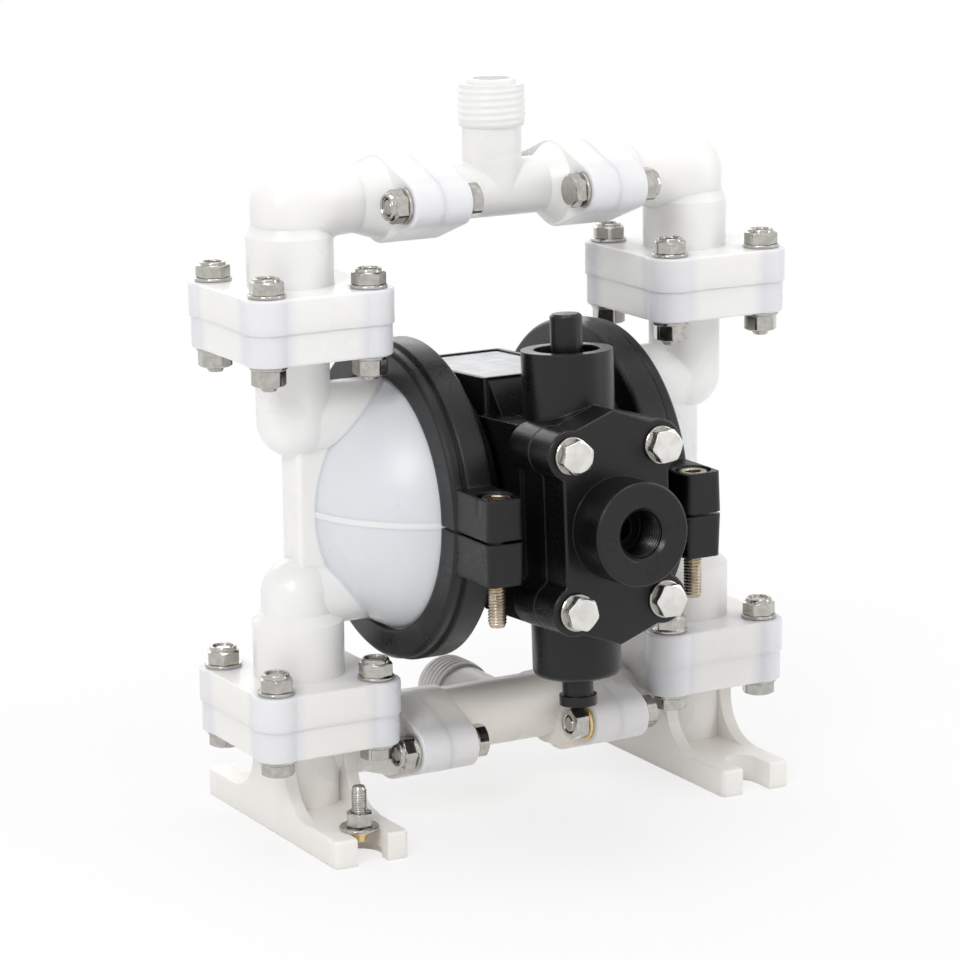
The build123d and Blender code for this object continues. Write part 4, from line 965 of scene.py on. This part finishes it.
# Marks that the ejector pins leave on the face of the air port
MARK_CIRCLE = 11.6
MARK_ANGLES = (-75, 8, 188)
MARK_R = 1.9
MARK_WALL = 0.12
MARK_ROOT = -0.02
MARK_CREST = 0.09
MARK_AROUND = 40
marks = Lathe()
ring = [
    (MARK_R - MARK_WALL, MARK_ROOT),
    (MARK_R - MARK_WALL / 2, MARK_CREST),
    (MARK_R + MARK_WALL / 2, MARK_CREST),
    (MARK_R + MARK_WALL, MARK_ROOT),
]
for angle in MARK_ANGLES:
    x = MARK_CIRCLE * math.cos(math.radians(angle))
    z = MARK_CIRCLE * math.sin(math.radians(angle))
    place = leaned((x, -INLET_FACE, VALVE_DROP + z), (0, -1, 0))
    marks.rings(place, ring, capped=False, around=MARK_AROUND)
marks.piece("boss_ejector_marks", "black_sharp", "pump", "black_nylon")

# Stage, lights and camera, in metres
CAMERA_AZIMUTH = math.radians(-29.07)
CAMERA_HEIGHT = math.radians(12.66)
CAMERA_ROLL = math.radians(-0.66)
CAMERA_AWAY = 1.20199
CAMERA_TARGET = Vector((0, 0, 0.135))
CAMERA_SIDE = -0.00473
CAMERA_RISE = -0.02781
CAMERA_LENS = 137.38  # this and the sensor are in millimetres
CAMERA_SENSOR = 36.0
LAMP_AIM = Vector((0, 0, 0.1))
FLOOR_SIZE = 8
FLOOR_NEAR = 0.12  # the floor's white grows from here, where a shadow falls,
FLOOR_FAR = 0.36  # to here, where all of it shows as white
FLOOR_NEAR_WHITE = 0.72
WORLD_LIGHT = 0.6


def place_camera():
    """Stands where the photograph's camera stood, looks past the target by side and rise, and rolls."""
    flat = math.cos(CAMERA_HEIGHT)
    rise = math.sin(CAMERA_HEIGHT)
    back = Vector((math.sin(CAMERA_AZIMUTH) * flat, -math.cos(CAMERA_AZIMUTH) * flat, rise))
    right = (-back).cross(Vector((0, 0, 1))).normalized()
    up = right.cross(-back)
    cos_roll = math.cos(CAMERA_ROLL)
    sin_roll = math.sin(CAMERA_ROLL)
    right, up = cos_roll * right + sin_roll * up, -sin_roll * right + cos_roll * up
    matrix = Matrix((right, up, back)).transposed().to_4x4()
    matrix.translation = CAMERA_TARGET + back * CAMERA_AWAY + right * CAMERA_SIDE + up * CAMERA_RISE
    data = bpy.data.cameras.new("camera")
    data.lens = CAMERA_LENS
    data.sensor_width = CAMERA_SENSOR
    camera = bpy.data.objects.new("camera", data)
    camera.matrix_world = matrix
    bpy.context.scene.collection.objects.link(camera)
    bpy.context.scene.camera = camera


def area_light(name, place, size, power):
    """A rectangular lamp that looks at the pump."""
    data = bpy.data.lights.new(name, "AREA")
    data.shape = "RECTANGLE"
    data.size = size[0]
    data.size_y = size[1]
    data.energy = power
    lamp = bpy.data.objects.new(name, data)
    lamp.location = place
    lamp.rotation_euler = (LAMP_AIM - Vector(place)).to_track_quat("-Z", "Y").to_euler()
    bpy.context.scene.collection.objects.link(lamp)


def add_floor():
    """White paper, which is grey enough near the pump to keep its shadow."""
    bpy.ops.mesh.primitive_plane_add(size=FLOOR_SIZE, location=(0, 0, 0))
    floor = bpy.context.object
    floor.name = "floor"
    skin = Skin("floor_paper")
    fibre = skin.spread(skin.noise(3, 2), 0.3, 0.7)
    skin.colour(skin.blend(fibre, (0.88, 0.88, 0.88), (0.90, 0.90, 0.90)))
    skin.set(Roughness=0.8)
    glow = skin.add("ShaderNodeEmission")
    glow.inputs["Color"].default_value = (1, 1, 1, 1)
    glow.inputs["Strength"].default_value = 1.0
    away = skin.add("ShaderNodeVectorMath", operation="LENGTH")
    skin.link(skin.place, away.inputs[0])
    white = skin.spread(away.outputs["Value"], FLOOR_NEAR, FLOOR_FAR, FLOOR_NEAR_WHITE, 1.0)
    share = skin.math("MULTIPLY", skin.seen(), white)
    mixed = skin.mix(share, skin.shader.outputs[0], glow.outputs[0])
    skin.link(mixed, skin.output.inputs["Surface"])
    floor.data.materials.append(skin.material)


def add_world():
    """White where it is seen, and a dimmer light from all sides."""
    world = bpy.data.worlds.new("studio")
    bpy.context.scene.world = world
    tree = Tree(world)
    output = tree.add("ShaderNodeOutputWorld")
    dim = tree.add("ShaderNodeBackground")
    dim.inputs["Color"].default_value = (1.0, 0.995, 0.985, 1)
    dim.inputs["Strength"].default_value = WORLD_LIGHT
    white = tree.add("ShaderNodeBackground")
    white.inputs["Color"].default_value = (1, 1, 1, 1)
    white.inputs["Strength"].default_value = 1.0
    mixed = tree.mix(tree.seen(), dim.outputs[0], white.outputs[0])
    tree.link(mixed, output.inputs["Surface"])


place_camera()
add_floor()
add_world()
area_light("key_light", (-1.0, -0.8, 1.0), (0.4, 0.6), 7.4)
area_light("fill_light", (1.2, -0.9, 0.6), (0.25, 1.0), 4.2)
area_light("top_light", (0.1, 0.1, 1.5), (0.7, 0.7), 4.8)
area_light("back_light", (0.2, 1.3, 0.7), (1.2, 0.7), 3.6)
bpy.context.scene.view_settings.view_transform = "Standard"
